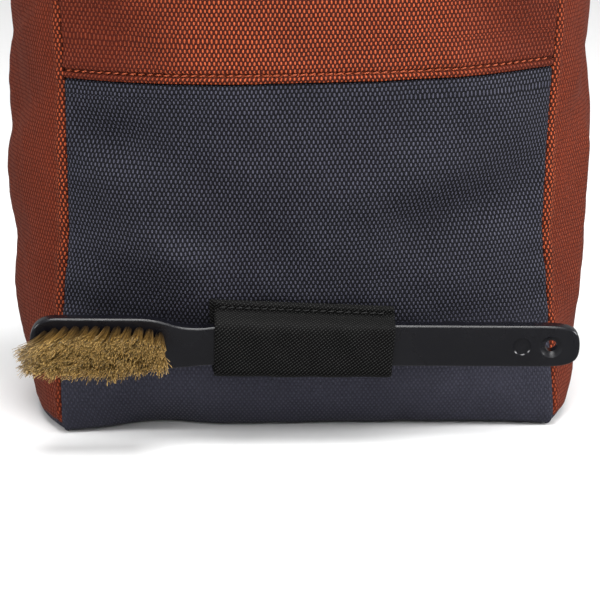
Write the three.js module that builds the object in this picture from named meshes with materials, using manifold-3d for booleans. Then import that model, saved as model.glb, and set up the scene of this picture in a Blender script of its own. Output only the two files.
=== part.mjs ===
// A climbing chalk bag that stands on the floor: a soft bucket of heavy woven nylon with an open, bound mouth,
// and a boar-hair brush pushed through an elastic sleeve low on its front.
// Millimetres, +Z up, the front faces -Y, and the origin is the centre of the base.

import * as THREE from "three";
import { mergeVertices } from "three/addons/utils/BufferGeometryUtils.js";
import Module from "manifold-3d";

const wasm = await Module();
wasm.setup();

// Sizes of the bag
const bagHeight = 205; // floor to the cut top edge of the panels
const bagWidth = 190; // across both gussets where they are fullest
const bagDepth = 128; // front to back where it is fullest
const seamSpan = 155; // across the front, from seam to seam
const seamDepth = 84; // across a gusset, from its front seam to its back seam
const clothThickness = 2; // nylon with its foam backing
const seamGap = 0.4; // between two panels along a sewn edge
const restGap = 0.3; // between two pieces that lie on each other

// Sizes of the lap seam, where an upper panel covers the top edge of the lower wrap
const lapHeight = 116; // floor to the folded edge of an upper panel, at its middle
const lapSlant = 1.2; // how much higher that edge is at the right seam than at the middle
const lapOverlap = 8;
const lapCloth = 1.4; // the folded edge, pressed thin by its stitching
const lapRun = 2.5; // height over which the wrap steps in behind the fold

// Sizes of the mouth binding
const bindingDepth = 14;
const bindingCloth = 1.1;

// Sizes of the elastic sleeve
const sleeveLength = 56.2; // along the brush
const sleeveCentre = -2.1; // its place to the right of the bag's middle plane
const sleeveTop = 47.4; // floor to the upper edge of its sewn tab
const elasticCloth = 1.1;
const sleeveTab = 4; // where both layers are sewn down together
const tabSlant = 2; // how much lower the tab is at the sleeve's right end than at its left
const sleeveAbove = 2.5; // from the handle's upper edge to the sewn tab
const sleeveBelow = 3.1; // from the handle's lower edge to the inside of the fold

// Sizes of the brush
const brushLength = 171.5;
const brushTilt = 7; // degrees, its face looks down
const brushTurn = 1; // degrees, its head end lies closer to the bag
const brushDroop = 0.75; // degrees, its tail end hangs lower
const tailReach = 86.4; // from the sleeve's middle to the end of the handle
const handleThickness = 4.4;
const handleEdge = 1; // rounding of the handle's long edges
const tailWidth = 13.6;
const neckWidth = 11;
const headWidth = 17;
const headLength = 41.5;
const neckLength = 16;
const tailTaper = 12; // over which the tail narrows to its rounded end
const hangHole = 4.2; // diameter of the hole at the tail
const hangHoleInset = 9; // from the end of the handle
const hangHoleRim = 7; // diameter of the dish round the hole
const hangHoleDish = 0.8;
const markDiameter = 5.4; // the round mark that the mould leaves
const markInset = 18.2;
const markDepth = 0.4;

// Sizes of the bristles
const bristleLength = 16;
const bristleRootLength = 39;
const bristleRootWidth = 11.5;
const bristleInset = 3; // from the free end of the head
const tuftsAlong = 12;
const tuftsAcross = 4;
const bristleLean = 0.2; // how far a tip stands towards the head's free end, a share of its length
const bristleDroop = 0.08; // how far a tip hangs down, a share of its length
const bristleSplay = 0.25; // how much longer the block is at its tips than at its roots
const bristleSpread = 0.12; // how much wider it is there
const bristleSweep = 0.2; // how far the tips at the free end stand up again, a share of their length
const tuftUnevenness = 0.7;

// The bag's form from the floor up. height is a share of bagHeight, lean and seamX of half seamSpan, seamY of half
// seamDepth, frontBulge of half what bagDepth has over seamDepth, sideBulge of half what bagWidth has over seamSpan.
// lean is how far the section stands to the right, and a frontBulge below nought draws the front in.
const sections = [
  { height: 0, lean: 0.01, seamX: 1.008, seamY: 0.96, frontBulge: -0.25, sideBulge: 0.37 },
  { height: 0.007, lean: 0.01, seamX: 1.014, seamY: 0.97, frontBulge: -0.21, sideBulge: 0.41 },
  { height: 0.02, lean: 0.01, seamX: 1.02, seamY: 0.98, frontBulge: -0.12, sideBulge: 0.45 },
  { height: 0.044, lean: 0.008, seamX: 1.02, seamY: 0.993, frontBulge: 0.04, sideBulge: 0.51 },
  { height: 0.078, lean: 0.004, seamX: 1.018, seamY: 0.996, frontBulge: 0.24, sideBulge: 0.57 },
  { height: 0.127, lean: 0, seamX: 1.01, seamY: 0.998, frontBulge: 0.46, sideBulge: 0.69 },
  { height: 0.185, lean: 0, seamX: 1.002, seamY: 1, frontBulge: 0.67, sideBulge: 0.83 },
  { height: 0.25, lean: 0, seamX: 0.989, seamY: 1, frontBulge: 0.82, sideBulge: 0.95 },
  { height: 0.31, lean: 0, seamX: 0.974, seamY: 1, frontBulge: 0.92, sideBulge: 1.05 },
  { height: 0.4, lean: 0.003, seamX: 0.978, seamY: 1, frontBulge: 0.99, sideBulge: 1.07 },
  { height: 0.5, lean: 0.007, seamX: 0.986, seamY: 1, frontBulge: 1, sideBulge: 1.04 },
  { height: 0.61, lean: 0.013, seamX: 1, seamY: 0.995, frontBulge: 0.97, sideBulge: 0.94 },
  { height: 0.72, lean: 0.016, seamX: 1.02, seamY: 0.98, frontBulge: 0.92, sideBulge: 0.81 },
  { height: 0.86, lean: 0.016, seamX: 1.02, seamY: 0.955, frontBulge: 0.85, sideBulge: 0.77 },
  { height: 1, lean: 0.012, seamX: 1.005, seamY: 0.93, frontBulge: 0.79, sideBulge: 0.75 },
];
const frontRoundness = 2.8; // the front is flat in its middle and turns in near its seams
const gussetRoundness = 2.1;

// The main dents. across is the place between the panel's seams, from -1 to 1, and wide the dent's reach there.
// height and tall are shares of bagHeight, and depth is in cloth thicknesses.
const dents = [
  { panel: "front", across: -0.6, wide: 0.25, height: 0, tall: 0.06, depth: 3.4 },
  { panel: "front", across: -0.62, wide: 0.42, height: 0.14, tall: 0.09, depth: 1.4 },
  { panel: "front", across: 0.6, wide: 0.5, height: 0.36, tall: 0.05, depth: 0.7 },
  { panel: "front", across: -0.85, wide: 0.2, height: 0.46, tall: 0.06, depth: 0.7 },
  { panel: "left", across: -0.35, wide: 0.45, height: 0.52, tall: 0.12, depth: 1.3 },
  { panel: "right", across: -0.3, wide: 0.4, height: 0.56, tall: 0.14, depth: 1.2 },
  { panel: "back", across: 0.35, wide: 0.5, height: 0.3, tall: 0.12, depth: 1.2 },
];
const dentFade = 8; // power with which a dent fades out towards a seam, which holds its edge straight

// How finely the faceted solids follow the form
const panelColumns = 18;
const gussetColumns = 10;
const baseRows = 4;
const roundSides = 24;
const normalStep = 1e-3;

// A smooth curve through the sections, as lengths at one height
function formAt(z) {
  const share = THREE.MathUtils.clamp(z / bagHeight, 0, 1);
  const i = Math.max(sections.findIndex((s) => s.height >= share), 1);
  const [before, low, high, after] = [i - 2, i - 1, i, i + 1].map(
    (k) => sections[THREE.MathUtils.clamp(k, 0, sections.length - 1)],
  );
  const span = high.height - low.height;
  const t = (share - low.height) / span;
  const curve = (column) => {
    const leaving = ((high[column] - before[column]) / (high.height - before.height)) * span;
    const arriving = ((after[column] - low[column]) / (after.height - low.height)) * span;
    return (
      low[column] * (1 + 2 * t) * (1 - t) ** 2 +
      leaving * t * (1 - t) ** 2 +
      high[column] * t * t * (3 - 2 * t) +
      arriving * t * t * (t - 1)
    );
  };
  return {
    lean: (curve("lean") * seamSpan) / 2,
    seamX: (curve("seamX") * seamSpan) / 2,
    seamY: (curve("seamY") * seamDepth) / 2,
    frontBulge: (curve("frontBulge") * (bagDepth - seamDepth)) / 2,
    sideBulge: (curve("sideBulge") * (bagWidth - seamSpan)) / 2,
  };
}

// How far a panel is pressed in at a place on it
function dentDepth(panel, across, z) {
  let depth = 0;
  for (const dent of dents.filter((d) => d.panel === panel)) {
    const sideways = (across - dent.across) / dent.wide;
    const upward = (z / bagHeight - dent.height) / dent.tall;
    depth += dent.depth * clothThickness * Math.exp(-2 * (sideways ** 2 + upward ** 2));
  }
  return depth * (1 - across ** dentFade);
}

// The outer face of the front (facing -1) or back (facing 1), across from -1 at its left seam to 1 at its right
function frontPoint(facing, across, z) {
  const form = formAt(z);
  const bulge = form.frontBulge * (1 - Math.abs(across) ** frontRoundness);
  const dent = dentDepth(facing < 0 ? "front" : "back", across, z);
  return new THREE.Vector3(form.lean + across * form.seamX, facing * (form.seamY + bulge - dent), z);
}

// The outer face of the left (side -1) or right (side 1) gusset, across from -1 at its front seam to 1 at its back
function gussetPoint(side, across, z) {
  const form = formAt(z);
  const bulge = form.sideBulge * (1 - Math.abs(across) ** gussetRoundness);
  const dent = dentDepth(side < 0 ? "left" : "right", across, z);
  return new THREE.Vector3(form.lean + side * (form.seamX + bulge - dent), across * form.seamY, z);
}

// The outward normal of such a face at a place on it
function faceNormal(pointAt, which, across, z) {
  const wider = pointAt(which, Math.min(across + normalStep, 1), z);
  const narrower = pointAt(which, Math.max(across - normalStep, -1), z);
  const higher = pointAt(which, across, Math.min(z + normalStep, bagHeight));
  const lower = pointAt(which, across, Math.max(z - normalStep, 0));
  const normal = wider.sub(narrower).cross(higher.sub(lower)).normalize();
  const sideways = pointAt(which, across, z).setZ(0);
  return normal.dot(sideways) < 0 ? normal.negate() : normal;
}
const frontNormal = (facing, across, z) => faceNormal(frontPoint, facing, across, z);
const gussetNormal = (side, across, z) => faceNormal(gussetPoint, side, across, z);
const down = new THREE.Vector3(0, 0, -1);

// The shared direction in which two panels that meet at a seam grow outward, so that their ends lie side by side
function mitre(normalA, normalB) {
  return normalA.clone().add(normalB).divideScalar(1 + normalA.dot(normalB));
}

// The normal of the lower wrap at the heel, where it turns from the front or back to run under the base
const heelNormal = (facing, across) => frontNormal(facing, across, 0).add(down).normalize();

function seamMitre(facing, side, z) {
  const wallNormal = z > 0 ? frontNormal(facing, side, z) : heelNormal(facing, side);
  return mitre(wallNormal, gussetNormal(side, facing, z));
}

// One place in a sheet of cloth: an outer and an inner point, at two depths from a face point along a direction
const station = (point, direction, outer = 0, inner = -clothThickness) => ({
  outer: point.clone().addScaledVector(direction, outer),
  inner: point.clone().addScaledVector(direction, inner),
});

// A closed mesh from rows of stations. A ring's last row joins its first.
function clothGeometry(rows, ring = false) {
  const corners = [];
  const quad = (a, b, c, d) => corners.push(a, b, c, a, c, d);
  const last = rows[0].length - 1;
  const strips = ring ? rows.length : rows.length - 1;
  for (let r = 0; r < strips; r++) {
    const near = rows[r];
    const far = rows[(r + 1) % rows.length];
    for (let c = 0; c < last; c++) {
      quad(near[c].outer, near[c + 1].outer, far[c + 1].outer, far[c].outer);
      quad(far[c].inner, far[c + 1].inner, near[c + 1].inner, near[c].inner);
    }
    quad(far[0].outer, far[0].inner, near[0].inner, near[0].outer);
    quad(near[last].outer, near[last].inner, far[last].inner, far[last].outer);
  }
  if (!ring) {
    const [first, end] = [rows[0], rows.at(-1)];
    for (let c = 0; c < last; c++) {
      quad(first[c].inner, first[c + 1].inner, first[c + 1].outer, first[c].outer);
      quad(end[c].outer, end[c + 1].outer, end[c + 1].inner, end[c].inner);
    }
  }
  return facingOut(corners);
}

// A geometry from triangle corners, with its faces turned outward
function facingOut(corners) {
  const signedVolume = (a, b, c) => a.dot(b.clone().cross(c));
  let volume = 0;
  for (let i = 0; i < corners.length; i += 3) volume += signedVolume(...corners.slice(i, i + 3));
  const ordered = volume < 0 ? corners.toReversed() : corners;
  const geometry = new THREE.BufferGeometry().setFromPoints(ordered);
  geometry.computeVertexNormals();
  return geometry;
}

// Even steps between two seams, from -1 to 1, with both ends pulled in by half the seam gap
function stepsAcross(count, halfSpan) {
  const end = 1 - seamGap / 2 / halfSpan;
  return Array.from({ length: count + 1 }, (_, i) => ((2 * i) / count - 1) * end);
}
const panelSteps = stepsAcross(panelColumns, seamSpan / 2);
const gussetSteps = stepsAcross(gussetColumns, seamDepth / 2);
const isEnd = (index, steps) => index === 0 || index === steps.length - 1;

// One row of stations across a front or back panel, at a height that may change across it
function panelRow(facing, heightAt, outer = 0, inner = -clothThickness) {
  return panelSteps.map((across, i) => {
    const z = heightAt(across);
    const normal = z > 0 ? frontNormal(facing, across, z) : heelNormal(facing, across);
    const direction = isEnd(i, panelSteps) ? seamMitre(facing, Math.sign(across), z) : normal;
    return station(frontPoint(facing, across, z), direction, outer, inner);
  });
}

// The folded edge of an upper panel, a little higher at the right
const lapEdge = (across) => lapHeight + lapSlant * across;
const sectionHeights = sections.map((s) => s.height * bagHeight);

// Lower wrap: one length of slate nylon that runs down the front, under the base and up the back. Its top edges
// step in behind the folds, and its base has the gussets' curved feet as its sides.
function lowerWrap() {
  const setIn = lapCloth + restGap;
  const above = (rise) => (across) => lapEdge(across) + rise;
  const heights = sectionHeights.filter((z) => z < lapHeight - lapSlant - lapRun);
  const wall = (facing) => [
    ...heights.map((z) => panelRow(facing, () => z)),
    panelRow(facing, above(-lapRun)),
    panelRow(facing, above(-restGap), -setIn, -setIn - clothThickness),
    panelRow(facing, above(lapOverlap - restGap), -setIn, -setIn - clothThickness),
  ];
  const base = Array.from({ length: baseRows }, (_, row) => {
    const share = (row + 1) / (baseRows + 1);
    return panelSteps.map((across, i) => {
      const side = across < 0 ? -1 : 1;
      const { lean } = formAt(0);
      const foot = gussetPoint(side, 2 * share - 1, 0);
      const point = frontPoint(-1, across, 0).lerp(frontPoint(1, across, 0), share);
      point.setX(lean + (foot.x - lean) * Math.abs(across));
      return station(point, isEnd(i, panelSteps) ? mitre(down, gussetNormal(side, 2 * share - 1, 0)) : down);
    });
  });
  return clothGeometry([...wall(-1).toReversed(), ...base, ...wall(1)]);
}

// Upper panel: rust nylon, its lower edge folded and lapped over the wrap
function upperPanel(facing) {
  const above = (rise) => (across) => lapEdge(across) + rise;
  const heights = sectionHeights.filter((z) => z > lapHeight + lapSlant + lapOverlap + lapRun);
  return clothGeometry([
    panelRow(facing, above(0), 0, -lapCloth),
    panelRow(facing, above(lapOverlap / 2), 0, -lapCloth),
    panelRow(facing, above(lapOverlap), 0, -lapCloth),
    panelRow(facing, above(lapOverlap + lapRun)),
    ...heights.map((z) => panelRow(facing, () => z)),
  ]);
}

// Gusset: rust nylon side panel, sewn between the front and the back and to the wrap's edge at its foot
function gusset(side) {
  const heights = [seamGap / 2, ...sectionHeights.slice(1)];
  const rows = heights.map((z, row) =>
    gussetSteps.map((across, i) => {
      const foot = row === 0;
      let direction = gussetNormal(side, across, z);
      if (isEnd(i, gussetSteps)) direction = seamMitre(Math.sign(across), side, foot ? 0 : z);
      else if (foot) direction = mitre(down, gussetNormal(side, across, 0));
      return station(gussetPoint(side, across, z), direction);
    }),
  );
  return clothGeometry(rows);
}

// Mouth binding: a strip folded over the top edges of all four panels, closed on itself
function mouthBinding() {
  const inside = (steps) => steps.slice(1, -1);
  const alongPanel = (facing) => (across) => [
    (z) => frontPoint(facing, across, z),
    (z) => frontNormal(facing, across, z),
  ];
  const alongGusset = (side) => (across) => [
    (z) => gussetPoint(side, across, z),
    (z) => gussetNormal(side, across, z),
  ];
  const atSeam = (facing, side) => [
    (z) => frontPoint(facing, side, z),
    (z) => seamMitre(facing, side, z),
  ];
  const around = [
    ...inside(panelSteps).map(alongPanel(-1)),
    atSeam(-1, 1),
    ...inside(gussetSteps).map(alongGusset(1)),
    atSeam(1, 1),
    ...inside(panelSteps).toReversed().map(alongPanel(1)),
    atSeam(1, -1),
    ...inside(gussetSteps).toReversed().map(alongGusset(-1)),
    atSeam(-1, -1),
  ];
  // The strip's path over the wall, from the foot of its outer leg to the foot of its inner leg
  const foot = bagHeight - bindingDepth;
  const path = [
    { depth: 0, height: foot, out: 1, up: 0 },
    { depth: 0, height: bagHeight, out: 1, up: 0 },
    { depth: 0, height: bagHeight, out: 0, up: 1 },
    { depth: -clothThickness, height: bagHeight, out: 0, up: 1 },
    { depth: -clothThickness, height: bagHeight, out: -1, up: 0 },
    { depth: -clothThickness, height: foot, out: -1, up: 0 },
  ];
  const rows = around.map(([pointAt, directionAt]) =>
    path.map(({ depth, height, out, up }) => {
      const at = (away) => {
        const level = directionAt(height).setZ(0);
        const point = pointAt(height).addScaledVector(level, depth + out * away);
        return point.setZ(height + up * away);
      };
      return { inner: at(restGap), outer: at(restGap + bindingCloth) };
    }),
  );
  return clothGeometry(rows, true);
}

// The sleeve hangs from its sewn tab. In its frame x runs along the brush to the tail, -y points out of the bag's
// face and z points up.
function sleeveFrame() {
  const { degToRad } = THREE.MathUtils;
  const form = formAt(sleeveTop);
  const across = (sleeveCentre - form.lean) / form.seamX;
  const outward = frontNormal(-1, across, sleeveTop);
  const seat = new THREE.Group();
  seat.position.copy(frontPoint(-1, across, sleeveTop));
  seat.rotation.set(degToRad(brushTilt), 0, Math.atan2(outward.x, -outward.y), "ZYX");
  const frame = new THREE.Group();
  const turn = degToRad(brushTurn);
  frame.position.set(0, (-Math.sin(turn) * sleeveLength) / 2, -(tailWidth / 2 + sleeveAbove + sleeveTab));
  frame.rotation.set(0, degToRad(brushDroop), -turn);
  seat.add(frame);
  return { seat, frame };
}

// Distances out of the bag's face
const handleBack = restGap + elasticCloth + restGap;
const handleFront = handleBack + handleThickness;
const loopFront = handleFront + restGap;

// Outlines are drawn in one of these planes and extruded along the third direction.
const alongUp = new THREE.Matrix4().makeBasis(
  new THREE.Vector3(1, 0, 0),
  new THREE.Vector3(0, 0, 1),
  new THREE.Vector3(0, -1, 0),
);
const outUp = new THREE.Matrix4().makeBasis(
  new THREE.Vector3(0, -1, 0),
  new THREE.Vector3(0, 0, 1),
  new THREE.Vector3(-1, 0, 0),
);

// Elastic sleeve: a loop of ribbed elastic round the handle, its two ends sewn down together above
function elasticSleeve() {
  const half = tailWidth / 2;
  const tabFoot = half + sleeveAbove;
  const fold = -half - sleeveBelow;
  const outline = new THREE.Shape();
  outline.moveTo(restGap, tabFoot + sleeveTab);
  outline.lineTo(restGap + 2 * elasticCloth, tabFoot + sleeveTab);
  outline.lineTo(restGap + 2 * elasticCloth, tabFoot);
  outline.lineTo(loopFront + elasticCloth, half);
  outline.lineTo(loopFront + elasticCloth, -half);
  outline.quadraticCurveTo(loopFront + elasticCloth, fold - elasticCloth, handleFront - 1, fold - elasticCloth);
  outline.quadraticCurveTo(restGap, fold - elasticCloth, restGap, -half);
  const inside = new THREE.Path();
  const back = restGap + elasticCloth;
  inside.moveTo(back, tabFoot - elasticCloth);
  inside.lineTo(back, -half);
  inside.quadraticCurveTo(back, fold, handleFront - 1, fold);
  inside.quadraticCurveTo(loopFront, fold, loopFront, -half);
  inside.lineTo(loopFront, half);
  outline.holes.push(inside);
  const geometry = new THREE.ExtrudeGeometry(outline, {
    depth: sleeveLength,
    bevelEnabled: false,
    curveSegments: 5,
  });
  geometry.applyMatrix4(outUp).translate(sleeveLength / 2, 0, 0);
  const position = geometry.getAttribute("position");
  for (let i = 0; i < position.count; i++) {
    const fall = (tabSlant * (position.getX(i) + sleeveLength / 2)) / sleeveLength;
    if (position.getZ(i) > tabFoot - elasticCloth / 2) position.setZ(i, position.getZ(i) - fall);
  }
  return geometry;
}

// A closed geometry as a solid that can be joined and cut, and back
function solidFrom(geometry) {
  const bare = geometry.clone().deleteAttribute("normal").deleteAttribute("uv");
  const merged = mergeVertices(bare, 1e-4);
  return new wasm.Manifold(
    new wasm.Mesh({
      numProp: 3,
      vertProperties: new Float32Array(merged.attributes.position.array),
      triVerts: new Uint32Array(merged.index.array),
    }),
  );
}
function geometryFrom(solid) {
  const mesh = solid.getMesh();
  const geometry = new THREE.BufferGeometry();
  geometry.setAttribute("position", new THREE.BufferAttribute(mesh.vertProperties, 3));
  geometry.setIndex(new THREE.BufferAttribute(mesh.triVerts, 1));
  const faceted = geometry.toNonIndexed();
  faceted.computeVertexNormals();
  return faceted;
}

// A round cutter through the handle's front face, from one depth behind it to another
function frontCutter(x, frontDiameter, backDiameter, depth) {
  const proud = 1;
  const flare = ((frontDiameter - backDiameter) / 2 / depth) * proud;
  const cutter = new THREE.CylinderGeometry(frontDiameter / 2 + flare, backDiameter / 2, depth + proud, roundSides);
  // A cylinder's own axis is y, and its top end goes to the front.
  return solidFrom(cutter.rotateZ(Math.PI).translate(x, -handleFront + (depth - proud) / 2, 0));
}

// Brush handle: black plastic, broad at the head, waisted at the neck, with a hole at its tail
function brushHandle() {
  const tail = tailReach;
  const head = tailReach - brushLength;
  const neck = head + headLength;
  const grip = neck + neckLength;
  const tailHalf = tailWidth / 2;
  const neckHalf = neckWidth / 2;
  const headHalf = headWidth / 2;
  const outline = new THREE.Shape();
  outline.moveTo(head, 0);
  outline.quadraticCurveTo(head, headHalf, head + headHalf, headHalf);
  outline.lineTo(neck - headHalf, headHalf);
  outline.bezierCurveTo(neck, headHalf, neck, neckHalf, neck + neckLength / 2, neckHalf);
  outline.bezierCurveTo(grip, neckHalf, grip, tailHalf, grip + neckLength, tailHalf);
  outline.lineTo(tail - tailTaper, tailHalf);
  outline.bezierCurveTo(tail - tailHalf / 3, tailHalf, tail, tailHalf * 0.8, tail, 0);
  outline.bezierCurveTo(tail, -tailHalf * 0.8, tail - tailHalf / 3, -tailHalf, tail - tailTaper, -tailHalf);
  outline.lineTo(grip + neckLength, -tailHalf);
  outline.bezierCurveTo(grip, -tailHalf, grip, -neckHalf, neck + neckLength / 2, -neckHalf);
  outline.bezierCurveTo(neck, -neckHalf, neck, -headHalf, neck - headHalf, -headHalf);
  outline.lineTo(head + headHalf, -headHalf);
  outline.quadraticCurveTo(head, -headHalf, head, 0);
  const body = new THREE.ExtrudeGeometry(outline, {
    depth: handleThickness - 2 * handleEdge,
    bevelThickness: handleEdge,
    bevelSize: handleEdge,
    bevelOffset: -handleEdge,
    bevelSegments: 2,
    curveSegments: 6,
  });
  body.translate(0, 0, handleBack + handleEdge).applyMatrix4(alongUp);
  const hole = frontCutter(tail - hangHoleInset, hangHole, hangHole, handleThickness + 1);
  const dish = frontCutter(tail - hangHoleInset, hangHoleRim, hangHole, hangHoleDish);
  const mark = frontCutter(tail - markInset, markDiameter, markDiameter, markDepth);
  return geometryFrom(solidFrom(body).subtract(hole).subtract(dish).subtract(mark));
}

// Brush bristles: tufts that stand on the head, lean to its free end and merge into one block
function brushBristles() {
  const root = handleFront + restGap;
  const middle = tailReach - brushLength + bristleInset + bristleRootLength / 2;
  const pitchAlong = bristleRootLength / tuftsAlong;
  const pitchAcross = bristleRootWidth / tuftsAcross;
  const tuftRadius = Math.max(pitchAlong, pitchAcross) * 0.47;
  const coreHeight = bristleLength - 2 * tuftUnevenness;

  // The core fills the block up to just under the lowest tips, inside the outer tufts.
  const coreLength = bristleRootLength - pitchAlong;
  const coreWidth = bristleRootWidth - pitchAcross;
  const core = new THREE.BoxGeometry(coreLength, coreWidth, coreHeight, tuftsAlong, tuftsAcross, 1);
  core.translate(0, 0, coreHeight / 2);
  // Both ends are rounded, as the head is.
  const narrowing = (x) => Math.sqrt(1 - ((2 * x) / bristleRootLength) ** 4);
  const corePosition = core.getAttribute("position");
  for (let i = 0; i < corePosition.count; i++) {
    corePosition.setY(i, corePosition.getY(i) * narrowing(corePosition.getX(i)));
  }

  const tufts = [];
  for (let i = 0; i < tuftsAlong; i++) {
    for (let j = 0; j < tuftsAcross; j++) {
      const height = bristleLength + tuftUnevenness * Math.sin(5 * i + 11 * j);
      const tuft = new THREE.CylinderGeometry(tuftRadius, tuftRadius, height, 6);
      tuft.rotateX(Math.PI / 2);
      const x = (i + 0.5) * pitchAlong - bristleRootLength / 2;
      const y = ((j + 0.5) * pitchAcross - bristleRootWidth / 2) * narrowing(x);
      tufts.push(tuft.translate(x, y, height / 2));
    }
  }
  // Every vertex is carried sideways in proportion to its height, as worn bristles lean and spread.
  const bend = (geometry) => {
    const position = geometry.getAttribute("position");
    for (let i = 0; i < position.count; i++) {
      const rise = position.getZ(i);
      const share = rise / bristleLength;
      const nearEnd = Math.max((-2 * position.getX(i)) / bristleRootLength, 0);
      const lift = bristleSweep * nearEnd ** 2 - bristleDroop;
      position.setX(i, position.getX(i) * (1 + bristleSplay * share) - bristleLean * rise);
      position.setY(i, position.getY(i) * (1 + bristleSpread * share) + lift * rise);
    }
    return solidFrom(geometry.translate(middle, 0, root).applyMatrix4(alongUp));
  };
  return geometryFrom(tufts.reduce((block, tuft) => block.add(bend(tuft)), bend(core)));
}

const rustNylon = new THREE.MeshStandardMaterial({ color: "#8a4228", roughness: 0.75 });
const slateNylon = new THREE.MeshStandardMaterial({ color: "#33333b", roughness: 0.7 });
const rustBinding = new THREE.MeshStandardMaterial({ color: "#7c3a24", roughness: 0.8 });
const blackElastic = new THREE.MeshStandardMaterial({ color: "#1a1a1a", roughness: 0.9 });
const blackPlastic = new THREE.MeshStandardMaterial({ color: "#16171a", roughness: 0.3 });
const boarHair = new THREE.MeshStandardMaterial({ color: "#8f7444", roughness: 0.6 });

function named(name, geometry, material) {
  const mesh = new THREE.Mesh(geometry, material);
  mesh.name = name;
  return mesh;
}

const chalkBag = new THREE.Group();
chalkBag.add(
  named("lower_wrap", lowerWrap(), slateNylon),
  named("front_upper_panel", upperPanel(-1), rustNylon),
  named("back_upper_panel", upperPanel(1), rustNylon),
  named("left_gusset", gusset(-1), rustNylon),
  named("right_gusset", gusset(1), rustNylon),
  named("mouth_binding", mouthBinding(), rustBinding),
);
const { seat, frame } = sleeveFrame();
frame.add(
  named("elastic_sleeve", elasticSleeve(), blackElastic),
  named("brush_handle", brushHandle(), blackPlastic),
  named("brush_bristles", brushBristles(), boarHair),
);
chalkBag.add(seat);

export default chalkBag;
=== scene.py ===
"""A climbing chalk bag: a soft bucket of heavy woven nylon in two colours that stands on the floor, with a
boar-hair brush in an elastic sleeve low on its front. Lengths are in millimetres until a mesh is made."""

import math
import random

import bmesh
import bpy
import numpy as np
from mathutils import Matrix, Vector


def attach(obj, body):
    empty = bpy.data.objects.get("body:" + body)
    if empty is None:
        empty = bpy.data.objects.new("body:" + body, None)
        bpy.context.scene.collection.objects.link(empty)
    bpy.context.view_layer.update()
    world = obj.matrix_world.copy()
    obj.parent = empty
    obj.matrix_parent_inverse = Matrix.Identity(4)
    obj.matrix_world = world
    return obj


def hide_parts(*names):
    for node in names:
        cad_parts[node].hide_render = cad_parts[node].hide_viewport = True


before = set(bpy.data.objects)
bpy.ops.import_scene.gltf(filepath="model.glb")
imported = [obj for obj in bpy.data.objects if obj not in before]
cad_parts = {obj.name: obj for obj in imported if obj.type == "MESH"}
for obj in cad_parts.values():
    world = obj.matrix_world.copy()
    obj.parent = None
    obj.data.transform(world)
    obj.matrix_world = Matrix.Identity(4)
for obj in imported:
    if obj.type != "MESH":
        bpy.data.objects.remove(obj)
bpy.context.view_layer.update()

# View: a low camera a little to the left of the bag's middle, in a white studio. A large soft box hangs
# above and in front, smaller ones stand before it and at both sides, and pale walls fill the shadows.
MM = 0.001
azimuth, elevation = math.radians(-3.4), math.radians(13)
looks_at = Vector((-3.26, -62.8, 47.7)) * MM
distance = 1.12
lens, sensor_width, far_end = 216.3, 36, 100

camera = bpy.data.objects.new("camera", bpy.data.cameras.new("camera"))
camera.data.sensor_width, camera.data.lens, camera.data.clip_end = sensor_width, lens, far_end
toward_camera = Vector(
    (math.sin(azimuth) * math.cos(elevation), -math.cos(azimuth) * math.cos(elevation), math.sin(elevation))
)
camera.location = looks_at + toward_camera * distance
camera.rotation_mode = "QUATERNION"
camera.rotation_quaternion = toward_camera.to_track_quat("Z", "Y")
bpy.context.collection.objects.link(camera)
bpy.context.scene.camera = camera
bpy.context.scene.view_settings.view_transform = "Standard"


def linear(code):
    """An sRGB hex colour as the linear colour that a shader takes."""
    parts = [int(code[i : i + 2], 16) / 255 for i in (1, 3, 5)]
    return [p / 12.92 if p <= 0.04045 else ((p + 0.055) / 1.055) ** 2.4 for p in parts] + [1]


def add_node(owner, kind, inputs=None, **settings):
    """Adds a node with its settings. Its inputs take values, outputs, or nodes for their first output."""
    tree = owner.node_tree
    node = tree.nodes.new("ShaderNode" + kind)
    for name, value in settings.items():
        setattr(node, name, value)
    for key, value in (inputs or {}).items():
        if isinstance(value, bpy.types.Node):
            value = value.outputs[0]
        if isinstance(value, bpy.types.NodeSocket):
            tree.links.new(value, node.inputs[key])
        else:
            node.inputs[key].default_value = value
    return node


def bare_material(name):
    """A material with its nodes cleared, ready for a surface."""
    material = bpy.data.materials.new(name)
    material.use_nodes = True
    material.node_tree.nodes.clear()
    return material


def new_piece(name, points, faces, material, cloth_map=None):
    """An object from points in millimetres. cloth_map gives each point its place in the flat cut."""
    mesh = bpy.data.meshes.new(name)
    mesh.from_pydata((np.asarray(points, float).reshape(-1, 3) * MM).tolist(), [], faces)
    mesh.materials.append(material)
    mesh.polygons.foreach_set("use_smooth", np.ones(len(mesh.polygons), bool))
    if cloth_map is not None:
        corners = np.empty(len(mesh.loops), np.int32)
        mesh.loops.foreach_get("vertex_index", corners)
        flat = np.asarray(cloth_map, float).reshape(-1, 2) * MM
        mesh.uv_layers.new(name="cloth").uv.foreach_set("vector", flat[corners].astype(np.float32).ravel())
    mesh.update()
    piece = bpy.data.objects.new(name, mesh)
    bpy.context.collection.objects.link(piece)
    return piece


# A sheet of smooth matt white paper, rolled out far past the view
PAPER_REACH = 6000
paper_white = bare_material("matt_white_paper")
grain = add_node(paper_white, "TexNoise", {"Scale": 40, "Detail": 3})
paper_colours = {0: grain, 6: linear("#f4f4f4"), 7: linear("#f8f8f8")}
paper_tint = add_node(paper_white, "Mix", paper_colours, data_type="RGBA").outputs[2]
paper_surface = add_node(paper_white, "BsdfPrincipled", {"Base Color": paper_tint, "Roughness": 0.9})
add_node(paper_white, "OutputMaterial", {"Surface": paper_surface})
floor_corners = [(x * PAPER_REACH, y * PAPER_REACH, 0) for x, y in ((-1, -1), (1, -1), (1, 1), (-1, 1))]
floor = new_piece("studio_floor", floor_corners, [(0, 1, 2, 3)], paper_white)
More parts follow.
